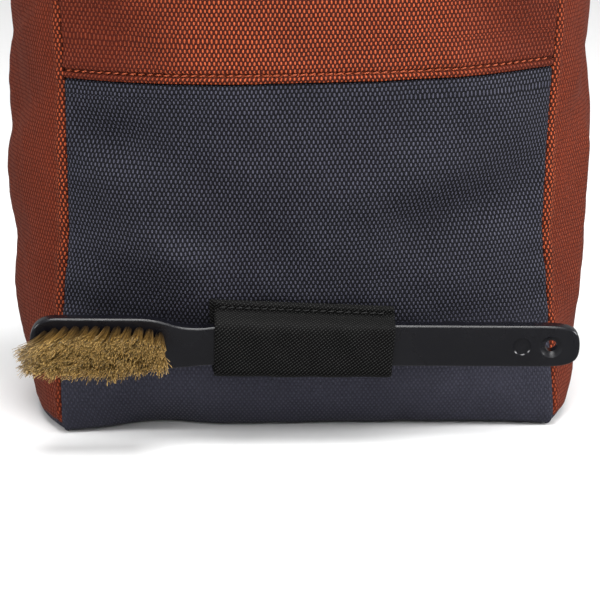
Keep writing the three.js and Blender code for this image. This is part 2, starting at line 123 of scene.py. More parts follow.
# Black flags on the table keep its glare off the bag and the brush, so they don't mirror the paper.
floor.visible_glossy = False

world = bpy.data.worlds.new("white_studio")
bpy.context.scene.world = world
world.use_nodes = True
world.node_tree.nodes.clear()
# The far backdrop is lit by itself, so it is white in the picture and lights the bag only a little.
walls = add_node(world, "Background", {"Color": linear("#ffffff"), "Strength": 0.3})
backdrop = add_node(world, "Background", {"Color": linear("#ffffff"), "Strength": 1.0})
seen = add_node(world, "LightPath").outputs["Is Camera Ray"]
studio = add_node(world, "MixShader", {0: seen, 1: walls, 2: backdrop})
add_node(world, "OutputWorld", {"Surface": studio})


def soft_box(name, place, aim, size, watts):
    """A square area light at a place in metres, turned to a point."""
    light = bpy.data.lights.new(name, "AREA")
    light.size, light.energy = size, watts
    lamp = bpy.data.objects.new(name, light)
    lamp.location = place
    lamp.rotation_mode = "QUATERNION"
    lamp.rotation_quaternion = (Vector(place) - Vector(aim)).to_track_quat("Z", "Y")
    bpy.context.collection.objects.link(lamp)


soft_box("overhead_soft_box", (0, -0.5, 1.5), (0, 0, 0.05), 0.9, 25)
soft_box("front_soft_box", (0.05, -1.6, 0.85), (0, 0, 0.06), 0.55, 9)
soft_box("right_soft_box", (1.3, -0.4, 0.6), (0, 0, 0.06), 0.5, 19)
soft_box("left_soft_box", (-1.3, -0.4, 0.6), (0, 0, 0.06), 0.5, 8)

# Lower wrap: one length of slate ballistic nylon with a thin foam backing, cut to run down the front, under
# the base and up the back. It is sewn to the gussets with its edges turned inside, and its two top edges are
# tucked behind the upper panels.
BAG_HEIGHT, BAG_WIDTH, BAG_DEPTH = 205, 190, 128
SEAM_SPAN, SEAM_DEPTH = 155, 84
CLOTH = 2
FRONT_ROUNDNESS, GUSSET_ROUNDNESS = 2.8, 2.1
# Height as a share of the bag's, then lean, seam x, seam y, front bulge and side bulge as shares of their
# own sizes
FORM = np.array(
    [
        (0, 0.01, 1.008, 0.96, -0.25, 0.37),
        (0.007, 0.01, 1.014, 0.97, -0.21, 0.41),
        (0.02, 0.01, 1.02, 0.98, -0.12, 0.45),
        (0.044, 0.008, 1.02, 0.993, 0.04, 0.51),
        (0.078, 0.004, 1.018, 0.996, 0.24, 0.57),
        (0.127, 0, 1.01, 0.998, 0.46, 0.69),
        (0.185, 0, 1.002, 1, 0.67, 0.83),
        (0.25, 0, 0.989, 1, 0.82, 0.95),
        (0.31, 0, 0.974, 1, 0.92, 1.05),
        (0.4, 0.003, 0.978, 1, 0.99, 1.07),
        (0.5, 0.007, 0.986, 1, 1, 1.04),
        (0.61, 0.013, 1, 0.995, 0.97, 0.94),
        (0.72, 0.016, 1.02, 0.98, 0.92, 0.81),
        (0.86, 0.016, 1.02, 0.955, 0.85, 0.77),
        (1, 0.012, 1.005, 0.93, 0.79, 0.75),
    ]
)
FORM_SIZES = np.array([SEAM_SPAN, SEAM_SPAN, SEAM_DEPTH, BAG_DEPTH - SEAM_DEPTH, BAG_WIDTH - SEAM_SPAN]) / 2

# The dents that the bag's slack leaves: place across the panel, reach across, height, reach up, and depth in
# thicknesses of cloth
DENTS = {
    "front": [
        (-0.6, 0.25, 0, 0.06, 3.4),
        (-0.62, 0.42, 0.14, 0.09, 1.4),
        (0.6, 0.5, 0.36, 0.05, 0.7),
        (-0.85, 0.2, 0.46, 0.06, 0.7),
    ],
    "back": [(0.35, 0.5, 0.3, 0.12, 1.2)],
    "left": [(-0.35, 0.45, 0.52, 0.12, 1.3)],
    "right": [(-0.3, 0.4, 0.56, 0.14, 1.2)],
}
# Finer creases on top of them: both ends as distance across and height, reach to each side, depth inward.
CREASES = {
    "front": [
        ((34, 70), (76, 85), 9, 1.6),
        ((40, 66), (78, 76), 15, 1.0),
        ((36, 83), (76, 99), 9, -1.0),
        ((-66, 61), (-38, 60), 7, -1.3),
        ((-62, 82), (-36, 50), 9, -1.4),
        ((-40, 92), (-14, 66), 9, 0.8),
        ((-80, 102), (-60, 97), 7, 2.7),
        ((-78, 69), (-66, 58), 4, 0.8),
        ((-76, 52), (-68, 50), 6, -0.7),
        ((-70, 137), (-60, 129), 9, 1.0),
        ((54, 137), (72, 124), 8, 1.0),
        ((52, 109), (62, 106), 8, -0.7),
        ((-20, 84), (18, 80), 16, -0.7),
        ((-52, 22), (-30, 17), 7, -0.6),
        ((38, 26), (64, 34), 9, -0.7),
    ],
    "back": [
        ((-60, 70), (-20, 90), 9, 1.5),
        ((10, 60), (50, 48), 10, 1.2),
        ((-70, 150), (-50, 135), 9, 1.1),
        ((30, 150), (64, 168), 10, 1.2),
    ],
    "left": [
        ((-36, 141), (4, 122), 5, 1.1),
        ((-34, 112), (2, 92), 6, 1.1),
        ((-10, 60), (30, 44), 9, 1.4),
        ((-34, 30), (-12, 18), 7, 0.9),
        ((-4, 160), (24, 176), 9, 1.2),
    ],
    "right": [
        ((-24, 48), (-20, 86), 6, -1.2),
        ((-20, 15), (18, 16), 7, -1.2),
        ((-34, 96), (0, 118), 7, 1.1),
        ((-36, 40), (-14, 22), 7, 1.0),
        ((2, 70), (30, 52), 9, 1.2),
        ((-10, 150), (22, 172), 9, 1.3),
    ],
}
# Unevenness over all of it: how high its waves are and how long, the coarse ones first.
UNEVEN = ((0.36, 26), (0.14, 9))


def form_at(z):
    """Lean, seam x, seam y, front bulge and side bulge at heights z, on a smooth curve through the form."""
    share = np.clip(np.asarray(z, float) / BAG_HEIGHT, 0, 1)
    heights = FORM[:, 0]
    high = np.clip(np.searchsorted(heights, share, side="left"), 1, len(heights) - 1)
    low = high - 1
    before, after = np.maximum(low - 1, 0), np.minimum(high + 1, len(heights) - 1)
    span = heights[high] - heights[low]
    t = (share - heights[low]) / span
    lengths = []
    for column, size in zip(FORM.T[1:], FORM_SIZES):
        leaving = (column[high] - column[before]) / (heights[high] - heights[before]) * span
        arriving = (column[after] - column[low]) / (heights[after] - heights[low]) * span
        start, end = column[low] * (1 + 2 * t) * (1 - t) ** 2, column[high] * t * t * (3 - 2 * t)
        lengths.append(size * (start + leaving * t * (1 - t) ** 2 + end + arriving * t * t * (t - 1)))
    return lengths


def ripple(u, v, seed, length):
    """Soft unevenness from about -1 to 1, with waves about this long."""
    rng = np.random.default_rng(seed)
    total = 0
    for _ in range(10):
        angle, phase, stretch = rng.uniform(0, math.pi), rng.uniform(0, 2 * math.pi), rng.uniform(0.6, 1.6)
        wave = (u * math.cos(angle) + v * math.sin(angle)) * 2 * math.pi / (length * stretch)
        total = total + np.sin(wave + phase)
    return total / 4


def hump(place, middle, reach):
    """A smooth rise to 1 at its middle, which has nearly died out at twice its reach."""
    return np.exp(-(((place - middle) / reach) ** 2))


def pressed_in(panel, across, flat_x, z, fine=True):
    """How far a panel's slack lets it in at a place on it."""
    depth = 0
    for place, wide, height, tall, cloths in DENTS[panel]:
        sideways, upward = (across - place) / wide, (z / BAG_HEIGHT - height) / tall
        depth = depth + cloths * CLOTH * np.exp(-2 * (sideways**2 + upward**2))
    if fine:
        # The front and back hang slacker than the gussets.
        slack = 1.9 if panel in ("front", "back") else 1.2
        for (x0, z0), (x1, z1), reach, deep in CREASES[panel]:
            length = math.hypot(x1 - x0, z1 - z0)
            dx, dz = (x1 - x0) / length, (z1 - z0) / length
            along = (flat_x - x0) * dx + (z - z0) * dz
            off = (flat_x - x0) * dz - (z - z0) * dx
            past = np.maximum(np.maximum(-along, along - length), 0)
            depth = depth + slack * deep * np.exp(-((off / reach) ** 2) - (past / (1.5 * reach)) ** 2)
        for turn, (size, length) in enumerate(UNEVEN):
            depth = depth + size * ripple(flat_x, z, len(panel) + turn, length)
    return depth * (1 - np.abs(across) ** 8)


def front_face(facing, across, z, fine=True):
    """The outer face of the front (facing -1) or back (1). across goes from -1 to 1, from seam to seam."""
    lean, seam_x, seam_y, bulge, _ = form_at(z)
    full = seam_y + bulge * (1 - np.abs(across) ** FRONT_ROUNDNESS)
    inward = pressed_in("front" if facing < 0 else "back", across, across * seam_x, z, fine)
    return np.stack(np.broadcast_arrays(lean + across * seam_x, facing * (full - inward), z), -1)


def gusset_face(side, across, z, fine=True):
    """The outer face of the left (side -1) or right (1) gusset. across goes from -1 in front to 1 behind."""
    lean, seam_x, seam_y, _, bulge = form_at(z)
    inward = pressed_in("left" if side < 0 else "right", across, across * seam_y, z, fine)
    full = seam_x + bulge * (1 - np.abs(across) ** GUSSET_ROUNDNESS) - inward
    return np.stack(np.broadcast_arrays(lean + side * full, across * seam_y, z), -1)


def seam_outward(facing, side, z):
    """The level direction out of the bag at a seam, halfway between the two panels that meet there."""
    _, seam_x, seam_y, bulge, side_bulge = form_at(z)
    panel = np.stack([side * bulge * FRONT_ROUNDNESS, facing * seam_x, 0 * seam_x], -1)
    gusset = np.stack([side * seam_y, facing * side_bulge * GUSSET_ROUNDNESS, 0 * seam_x], -1)
    return unit(unit(panel) + unit(gusset))


def seam_ways(across, z, left, right):
    """The directions out of the bag at the nearer seam of each place, from both seams' facing and side."""
    return np.where((across < 0)[..., None], seam_outward(*left, z[:, :1]), seam_outward(*right, z[:, :1]))


def unit(vectors):
    """The vectors at length 1."""
    return vectors / np.linalg.norm(vectors, axis=-1, keepdims=True)


def grid_normals(points, outward):
    """Unit normals of a grid of points, turned to the side that outward points to."""
    normals = unit(np.cross(np.gradient(points, axis=0), np.gradient(points, axis=1)))
    return normals * np.sign((normals * outward).sum(-1, keepdims=True))


def rolled(edge_distance, reach, depth):
    """How far a sewn edge has rolled in at a distance from it: a quarter round that starts at reach."""
    near = np.clip((reach - edge_distance) / reach, 0, 1)
    return depth * (1 - np.sqrt(1 - near**2))


# Where a panel starts to roll in towards its seam, and how deep its edge lies
SEAM_ROLL_REACH, SEAM_ROLL_DEPTH = 2.0, 1.3


def steps_across(half_span, pitch=1.6):
    """Distances from a panel's middle line, as shares of half its span, closer together near both seams."""
    near_seam = [0.06, 0.25, 0.5, 0.85, 1.3, 1.9, 2.6, 3.6, 4.8]
    wide = half_span - 6.2
    inner = np.linspace(0, wide, round(wide / pitch))
    half = np.concatenate([inner, half_span - np.array(near_seam[::-1])]) / half_span
    return np.concatenate([-half[:0:-1], half])


def panel_faces(points, outward, seam_directions, edge_distance, relief, thickness=CLOTH):
    """The outer and inner grids of a sewn panel. Near its two seams it rolls in along their directions."""
    normals = grid_normals(points, outward)
    near = np.clip(1 - edge_distance / SEAM_ROLL_REACH, 0, 1)[..., None]
    direction = unit(normals * (1 - near) + seam_directions * near)
    depth = rolled(edge_distance, SEAM_ROLL_REACH, SEAM_ROLL_DEPTH) - relief
    outer = points - direction * np.asarray(depth)[..., None]
    inner = points - direction * np.asarray(np.maximum(depth, 0) + thickness)[..., None]
    return outer, inner


def seam_pucker(edge_distance, along, seed):
    """Small tucks that the seam's stitches pull across a panel's edge."""
    return 0.3 * ripple(along, 0 * along, seed, 8) * hump(edge_distance, 2.5, 2.6)


def lengths_along(points):
    """How far along its line each point lies, for one line or for several side by side."""
    steps = np.linalg.norm(np.diff(points, axis=0), axis=-1)
    return np.concatenate([np.zeros_like(steps[:1]), np.cumsum(steps, axis=0)])


def flat_map(points):
    """Each point's place in the flat cut: how far along its row from the middle, and up the middle column."""
    middle = points.shape[1] // 2
    u = lengths_along(points.swapaxes(0, 1)).T
    v = lengths_along(points[:, middle])
    return np.stack(np.broadcast_arrays(u - u[:, middle : middle + 1], v[:, None]), -1)


def cloth_shell(name, outer, inner, material, cloth_map=None):
    """A closed sheet between two grids of points, which are its two faces."""
    rows, columns = outer.shape[:2]
    at = np.arange(rows * columns).reshape(rows, columns)
    back = at + rows * columns
    quads = [np.stack([at[:-1, :-1], at[:-1, 1:], at[1:, 1:], at[1:, :-1]], -1).reshape(-1, 4)]
    quads.append(np.stack([back[:-1, :-1], back[1:, :-1], back[1:, 1:], back[:-1, 1:]], -1).reshape(-1, 4))
    loop = np.concatenate([at[0, :-1], at[:-1, -1], at[-1, :0:-1], at[:0:-1, 0]])
    after = np.roll(loop, -1)
    quads.append(np.stack([after, loop, loop + rows * columns, after + rows * columns], -1))
    faces = np.concatenate(quads)
    points = np.concatenate([outer.reshape(-1, 3), inner.reshape(-1, 3)])
    corner = points[faces[:, :3]]
    if np.einsum("ij,ij->i", corner[:, 0], np.cross(corner[:, 1], corner[:, 2])).sum() < 0:
        faces = faces[:, ::-1]
    places = flat_map(outer) if cloth_map is None else cloth_map
    return new_piece(name, points, faces.tolist(), material, np.concatenate([places.reshape(-1, 2)] * 2))


def fill_ramp(ramp, stops):
    """Gives a colour ramp its stops: places from 0 to 1, each with a linear colour."""
    for element, (at, colour) in zip(ramp.elements, (stops[0], stops[-1])):
        element.position, element.color = at, colour
    for at, colour in stops[1:-1]:
        ramp.elements.new(at).color = colour


WARP_PITCH, WEFT_PITCH = 0.69, 1.31  # from one thread to the next


def ballistic_nylon(name, yarn_colour, shaded_gap_colour, lit_float_colour, plain_sides, plain_belt=(-500, 1, 2)):
    """Plain-woven 1680 denier nylon. Its thick flat yarns pass over each other in a chequer of long dots,
    which carry a painted highlight, and painted shade darkens the gaps between them. The painted highlights
    and shade fade out towards the panel's sides, between the distances plain_sides, and in a belt: plain_belt
    is its middle, edge and end of fading."""
    cloth = bare_material(name)
    place = add_node(cloth, "UVMap", uv_map="cloth")
    # No yarn is quite straight: each wanders by up to a fifth of its pitch.
    wander = add_node(cloth, "TexNoise", {"Vector": place, "Scale": 260, "Detail": 1}).outputs["Color"]
    centred = add_node(cloth, "VectorMath", {0: wander, 1: (0.5, 0.5, 0.5)}, operation="SUBTRACT")
    shift = {0: centred, 1: (0.0005, 0.0007, 0), 2: place}
    shifted = add_node(cloth, "VectorMath", shift, operation="MULTIPLY_ADD")
    turns = (math.pi / (WARP_PITCH * MM), math.pi / (WEFT_PITCH * MM), 0)
    waves = add_node(cloth, "VectorMath", {0: shifted, 1: turns}, operation="MULTIPLY")
    crests = add_node(cloth, "VectorMath", {0: waves}, operation="SINE")
    parts = add_node(cloth, "SeparateXYZ", {0: crests})
    over = add_node(cloth, "Math", {0: parts, 1: parts.outputs[1]}, operation="MULTIPLY")
    # A warp yarn on top stands higher than a weft yarn on top, and both round off into the gaps.
    over_share = add_node(cloth, "MapRange", {0: over, 1: -1, 2: 1})
    height = add_node(cloth, "ValToRGB", {"Fac": over_share})
    height.color_ramp.interpolation = "B_SPLINE"
    crown = ((0, 0.24), (0.3, 0.18), (0.52, 0), (0.64, 0.6), (0.78, 0.92), (1, 1))
    fill_ramp(height.color_ramp, [(at, (level, level, level, 1)) for at, level in crown])
    # The colour follows the height: painted shade in the low gaps, a painted highlight on the dots' crowns.
    colours = add_node(cloth, "ValToRGB", {"Fac": height})
    fill_ramp(colours.color_ramp, [(0.2, linear(shaded_gap_colour)), (0.9, linear(lit_float_colour))])
    # The painted highlights and shade show fully only where the cloth faces the light,
    # and fade where it turns aside or down.
    spot = add_node(cloth, "SeparateXYZ", {0: place})
    sideways = add_node(cloth, "Math", {0: spot}, operation="ABSOLUTE")
    near, far = (d * MM for d in plain_sides)
    side_painted_light = add_node(cloth, "MapRange", {0: sideways, 1: near, 2: far, 3: 1, 4: 0.3})
    middle, edge, end = (d * MM for d in plain_belt)
    from_belt = add_node(cloth, "Math", {0: spot.outputs[1], 1: middle}, operation="SUBTRACT")
    from_belt = add_node(cloth, "Math", {0: from_belt}, operation="ABSOLUTE")
    belt_painted_light = add_node(cloth, "MapRange", {0: from_belt, 1: edge, 2: end, 3: 0.25, 4: 1})
    painted_light_share = add_node(cloth, "Math", {0: side_painted_light, 1: belt_painted_light}, operation="MULTIPLY")
    # Away from the light, the painted highlight and shade give way to the plain yarn colour.
    painted_light_colours = {0: painted_light_share, 6: linear(yarn_colour), 7: colours}
    painted_light_tint = add_node(cloth, "Mix", painted_light_colours, data_type="RGBA").outputs[2]
    # Handling and dye leave broad, faint lighter and darker patches.
    patches = add_node(cloth, "TexNoise", {"Vector": place, "Scale": 28, "Detail": 4, "Roughness": 0.6})
    level = add_node(cloth, "MapRange", {0: patches, 1: 0.3, 2: 0.7, 3: 0.88, 4: 1.12})
    # Each yarn dot takes the dye and the light a little differently.
    dots = add_node(cloth, "TexNoise", {"Vector": place, "Scale": 900, "Detail": 1})
    dot_level = add_node(cloth, "MapRange", {0: dots, 1: 0.25, 2: 0.75, 3: 0.8, 4: 1.2})
    both = add_node(cloth, "Math", {0: level, 1: dot_level}, operation="MULTIPLY")
    dyed = add_node(cloth, "VectorMath", {0: painted_light_tint, 3: both}, operation="SCALE")
    rough = add_node(cloth, "MapRange", {0: height, 1: 0.3, 2: 0.7, 3: 0.9, 4: 0.5})
    relief = add_node(cloth, "Bump", {"Height": height, "Strength": 1, "Distance": 0.00024})
    look = {"Base Color": dyed, "Roughness": rough, "Normal": relief, "Specular IOR Level": 0.18}
    surface = add_node(cloth, "BsdfPrincipled", look)
    add_node(cloth, "OutputMaterial", {"Surface": surface})
    return cloth


# The belt is where the wrap turns under the bag. Near it the walls face down, away from the light, so the
# weave's painted highlights and shade fade out there; they fade towards the sides from 78 to 96 mm too.
slate_nylon = ballistic_nylon(
    "slate_ballistic_nylon", "#32323d", "#0d0d12", "#434350", (78, 96), (164, 56, 82)
)

# The lap: the height of its fold, how much that rises to the right, its overlap, the folded cloth's
# thickness and over what height that grows to the full one. Cloths that lie on each other keep a small gap,
# and the wrap eases in a little below the fold.
LAP_HEIGHT, LAP_SLANT, LAP_OVERLAP, LAP_CLOTH, LAP_RUN = 116, 1.2, 8, 1.4, 2.5
REST_GAP, LAP_EASE = 0.3, 0.25
# At the floor the two walls round in to a heel, and the base's side edges curl up to the gussets.
HEEL_TOP, HEEL_RADIUS, HEEL_DEPTH = 4.4, 3.2, 2.4
CURL_REACH, CURL_RISE = 4, 3.1

panel_steps = steps_across(SEAM_SPAN / 2)
gusset_steps = steps_across(SEAM_DEPTH / 2)


def wrap_wall(facing):
    """One wall of the wrap from the floor up to its edge behind the upper panel."""
    heel = np.array([0, 0.1, 0.35, 0.8, 1.4, 2.2, 3.2, HEEL_TOP])
    plain = np.linspace(5.8, LAP_HEIGHT - 6, 70)
    lap_rises = [-4.6, -3.6, -2.8, -2.1, -1.5, -1.1, -0.8, -0.5, -0.2, 2.5, 5, LAP_OVERLAP - REST_GAP]
    across = panel_steps[None, :]
    z = np.concatenate([heel, plain])[:, None] + 0 * across
    z = np.concatenate([z, LAP_HEIGHT + LAP_SLANT * across + np.array(lap_rises)[:, None]])
    points = front_face(facing, across, z)
    edge = (1 - np.abs(across)) * form_at(z)[1]
    relief = seam_pucker(edge, z, 11) - rolled(z, HEEL_RADIUS, HEEL_DEPTH)
    # The top edge steps in behind the fold, and under the fold the stitches pull small tucks in it.
    rise = z - LAP_HEIGHT - LAP_SLANT * across
    step = np.clip((rise + 0.7) / 0.6, 0, 1)
    relief = relief - LAP_EASE * np.clip((rise + 3) / 2, 0, 1)
    relief = relief - (LAP_CLOTH + REST_GAP - LAP_EASE) * step * step * (3 - 2 * step)
    tucks = ripple(points[..., 0], 0 * z, 23, 5) * hump(rise, -5, 4)
    relief = relief + 0.12 * tucks
    ways = seam_ways(across, z, (facing, -1), (facing, 1))
    outer, inner = panel_faces(points, (0, facing, 0), ways, edge, relief)
    outer[..., 2] = np.maximum(outer[..., 2], 0)
    # Inside, the wall ends on the floor's inner face.
    inner[..., 2] = np.where(z < HEEL_TOP, CLOTH + z * (HEEL_TOP - CLOTH) / HEEL_TOP, z)
    return outer, inner


def wrap_base():
    """The rows that lie on the floor, between the two walls."""
    rows = []
    across = panel_steps
    lean = float(form_at(0)[0])
    front, back = (wrap_wall(facing)[0][0] for facing in (-1, 1))
    for share in np.linspace(0, 1, 30)[1:-1]:
        foot_x = abs(gusset_face(1, 2 * share - 1, 3.0, False)[0] - lean)
        edge = (1 - np.abs(across)) * foot_x
        # Each side edge curls up to the gusset's.
        x = lean + np.sign(across) * (np.abs(across) * foot_x - 0.3 * rolled(edge, 1, 1))
        y = front[:, 1] * (1 - share) + back[:, 1] * share
        z = rolled(edge, CURL_REACH, CURL_RISE)
        rows.append(np.stack([x, y, z], -1))
    return np.array(rows)


front_wall, back_wall, base = wrap_wall(-1), wrap_wall(1), wrap_base()
lower_wrap = cloth_shell(
    "slate_lower_wrap",
    np.concatenate([front_wall[0][::-1], base, back_wall[0]]),
    np.concatenate([front_wall[1][::-1], base + (0, 0, CLOTH), back_wall[1]]),
    slate_nylon,
)
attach(lower_wrap, "root")
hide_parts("lower_wrap")

# Upper panels: the same ballistic nylon dyed rust, one at the front and one at the back. The lower edge of
# each is folded under, laid over the top of the wrap and topstitched 2.6 mm above the fold with rust thread.
STITCH_RISE, STITCH_PITCH = 2.6, 2.8
# The fold's rounded band and the puff above the stitches: how high, where above the fold, and their reach
BAND, PUFF = (0.42, 1.25, 0.75), (0.4, 5, 2.2)
upper_steps = steps_across(SEAM_SPAN / 2, 0.7)
# The weave's painted highlights and shade fade from 34 to 64 mm beside the middle, as the panel turns aside.
rust_nylon = ballistic_nylon("rust_ballistic_nylon", "#471305", "#381006", "#ab4d29", (34, 64))


def upper_wall(facing):
    """An upper panel, from its fold to its top edge inside the mouth binding."""
    fold = LAP_CLOTH / 2
    near_fold = [0, 0.06, 0.2, 0.42, fold, 1, 1.3, 1.6, 1.9, 2.15, 2.4, 2.6, 2.8, 3.05, 3.3, 3.6, 4, 4.5, 5.2]
    near_fold = np.array([*near_fold, 6.2, 7.4, 8.8, 10.2, 11.6])
    across = upper_steps[None, :]
    lap = LAP_HEIGHT + LAP_SLANT * across + near_fold[:, None]
    plain = np.linspace(LAP_HEIGHT + 13.5, BAG_HEIGHT, 46)[:, None] + 0 * across
    z = np.concatenate([lap, plain])
    rise = z - LAP_HEIGHT - LAP_SLANT * across
    points = front_face(facing, across, z)
    edge = (1 - np.abs(across)) * form_at(z)[1]
    along = points[..., 0]
    # The stitches press a groove, and between them the cloth rises in small tucks on both sides of it.
    between = 0.5 - 0.5 * np.cos(2 * math.pi * along / STITCH_PITCH)
    groove = (0.4 + 0.75 * (1 - between) ** 2) * hump(rise, STITCH_RISE, 0.6)
    band = BAND[0] * hump(rise, *BAND[1:]) * (0.85 + 0.3 * ripple(along, rise, 31, 6))
    puff = PUFF[0] * hump(rise, *PUFF[1:]) * (0.8 + 0.5 * ripple(along, rise * 0.4, 32, 7))
    relief = seam_pucker(edge, z, 12) - groove + band + puff
    ways = seam_ways(across, z, (facing, -1), (facing, 1))
    thickness = LAP_CLOTH + (CLOTH - LAP_CLOTH) * np.clip((rise - LAP_OVERLAP) / LAP_RUN, 0, 1)
    outer, inner = panel_faces(points, (0, facing, 0), ways, edge, relief, thickness)
    # The fold is a half round, so both faces draw together towards it.
    draw = unit(inner - outer) * rolled(rise, fold, fold)[..., None]
    return outer + draw, inner - draw


for facing, name in ((-1, "front_upper_panel"), (1, "back_upper_panel")):
    outer, inner = upper_wall(facing)
    panel = cloth_shell("rust_" + name, outer, inner, rust_nylon)
    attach(panel, "root")
    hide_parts(name)

# Gussets: two side panels of the same rust nylon, each sewn to the front, the back and the edge of the base.
# The seam allowances are turned inside, so a seam shows only as a narrow groove between two rolled edges.
GUSSET_FOOT, FOOT_ROLL, FOOT_ROLL_DEPTH = 3.2, 1.8, 1.1
TUCK_PITCH = 2.6
# A ridge along each seam and a gutter beside it: how high, how far from the seam, and their reach
RIDGE, GUTTER = (0.6, 1.9, 0.9), (-0.4, 4.2, 1.1)
# The sides face away from the light, so their weave shows its painted highlights and shade only along
# the seams, where the cloth turns to face the light.
rust_side_nylon = ballistic_nylon("rust_side_nylon", "#561b08", "#350f05", "#a64a26", (45.5, 41))


def gusset_wall(side):
    """A gusset from its foot up to its top edge inside the mouth binding."""
    foot = GUSSET_FOOT + np.array([0, 0.25, 0.6, 1.1, 1.8])
    plain = np.linspace(5.8, BAG_HEIGHT, 118)
    across = gusset_steps[None, :]
    z = np.concatenate([foot, plain])[:, None] + 0 * across
    points = gusset_face(side, across, z)
    edge = (1 - np.abs(across)) * form_at(z)[2]
    # The seam's stitches draw the cloth into a row of small tucks beside it.
    tucks = 0.75 + 0.25 * np.cos(2 * math.pi * z / TUCK_PITCH)
    ridge = RIDGE[0] * hump(edge, *RIDGE[1:]) + GUTTER[0] * hump(edge, *GUTTER[1:])
    relief = seam_pucker(edge, z, 13) + ridge * tucks - rolled(z - GUSSET_FOOT, FOOT_ROLL, FOOT_ROLL_DEPTH)
    ways = seam_ways(across, z, (-1, side), (1, side))
    outer, inner = panel_faces(points, (side, 0, 0), ways, edge, relief)
    outer[..., 2], inner[..., 2] = z, z
    return outer, inner


for side, name in ((-1, "left_gusset"), (1, "right_gusset")):
    outer, inner = gusset_wall(side)
    panel = cloth_shell("rust_" + name, outer, inner, rust_side_nylon)
    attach(panel, "root")
    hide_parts(name)

# Lap topstitching: rust polyester thread, one straight row along each fold. Each stitch is a short stretch of
# thread that lies in the groove that it has pressed, with both ends dipping into their needle holes.
THREAD, STITCH_LENGTH = 0.55, 1.95
# How deep a stitch's ends sink in, how far it lies aslant, and the thread's shape as it is modelled
STITCH_SINK, STITCH_SLANT = 0.5, 0.4
STITCH_STEPS, THREAD_SIDES, THREAD_FLATNESS = 7, 7, 0.8


def thread_material(name, light, dark):
    """Twisted polyester sewing thread: soft sheen, and fine slanting lines where its plies turn."""
    thread = bare_material(name)
    place = add_node(thread, "TexCoord").outputs["Object"]
    turns = {"Vector": place, "Scale": 900, "Distortion": 1.5, "Detail": 1}
    plies = add_node(thread, "TexWave", turns, bands_direction="DIAGONAL").outputs["Fac"]
    colours = {0: plies, 6: linear(dark), 7: linear(light)}
    tint = add_node(thread, "Mix", colours, data_type="RGBA").outputs[2]
    relief = add_node(thread, "Bump", {"Height": plies, "Strength": 0.5, "Distance": 0.00008})
    look = {"Base Color": tint, "Roughness": 0.5, "Normal": relief, "Specular IOR Level": 0.3}
    surface = add_node(thread, "BsdfPrincipled", look)
    add_node(thread, "OutputMaterial", {"Surface": surface})
    return thread


def ring_faces(rings, sides, start=0):
    """Faces of a closed solid of equal rings of points, one after the other: the strips, then both caps."""
    end = start + (rings - 1) * sides
    faces = []
    for low in range(start, end, sides):
        high = low + sides
        faces += [(low + j, low + (j + 1) % sides, high + (j + 1) % sides, high + j) for j in range(sides)]
    return [*faces, tuple(range(start, start + sides))[::-1], tuple(range(end, end + sides))]


def thread_rings(path, outward, radii):
    """The rings of points round a stitch's path, flattened a little along outward."""
    along = unit(np.gradient(path, axis=0))
    across = unit(np.cross(along, outward))
    up = np.cross(across, along)
    angles = np.arange(THREAD_SIDES)[None, :, None] * 2 * math.pi / THREAD_SIDES
    ring = np.cos(angles) * across[:, None] + THREAD_FLATNESS * np.sin(angles) * up[:, None]
    return (path[:, None] + radii[:, None, None] * ring).reshape(-1, 3)


def points_at(places, lengths, points):
    """The points at some lengths along a line of points."""
    return np.stack([np.interp(places, lengths, points[:, k]) for k in range(points.shape[1])], -1)


def stitch_row(line, outward, pitch, length):
    """Stitches along a line of points, each a little aslant, with both ends sunk into the cloth."""
    travelled = lengths_along(line)
    steps = np.linspace(-0.5, 0.5, STITCH_STEPS)
    bow = np.abs(np.linspace(-1, 1, STITCH_STEPS)) ** 2.5
    points, faces = [], []
    place = pitch / 2
    while place + length / 2 < travelled[-1]:
        path = points_at(place + steps * length, travelled, line)
        out = unit(points_at(place + steps * length, travelled, outward))
        path = path + np.cross(out, unit(np.gradient(path, axis=0))) * STITCH_SLANT * steps[:, None]
        path = path + out * (THREAD * 0.3 - STITCH_SINK * bow)[:, None]
        rings = thread_rings(path, out, THREAD / 2 * (1 - 0.35 * bow))
        faces += ring_faces(STITCH_STEPS, THREAD_SIDES, len(points) * len(rings))
        points.append(rings)
        place += pitch
    return np.concatenate(points), faces


rust_thread = thread_material("rust_polyester_thread", "#b4552f", "#6e2c14")
for facing, name in ((-1, "front_lap_stitches"), (1, "back_lap_stitches")):
    across = np.linspace(-0.985, 0.985, 400)
    line = front_face(facing, across, LAP_HEIGHT + LAP_SLANT * across + STITCH_RISE)
    # Near the seams the panel turns aside, and the stitches with it.
    out = unit(np.stack(np.broadcast_arrays(across**3 * 0.6, float(facing), 0.0), -1))
    points, faces = stitch_row(line - out * 0.22, out, STITCH_PITCH, STITCH_LENGTH)
    stitches = new_piece(name, points, faces, rust_thread)
    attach(stitches, "root")

# Mouth binding: a strip of rust nylon tape folded over the top edges of all four panels and sewn through,
# with its two ends meeting edge to edge. It stiffens the open mouth.
BINDING_DEPTH, BINDING_CLOTH, BINDING_STITCH_RISE = 14, 1.1, 2.2
BINDING_STEPS, BINDING_START = 360, 120
TAPE_RIB, TAPE_YARN = 0.8, 0.45

rust_tape = bare_material("rust_grosgrain_tape")
tape_place = add_node(rust_tape, "UVMap", uv_map="cloth")
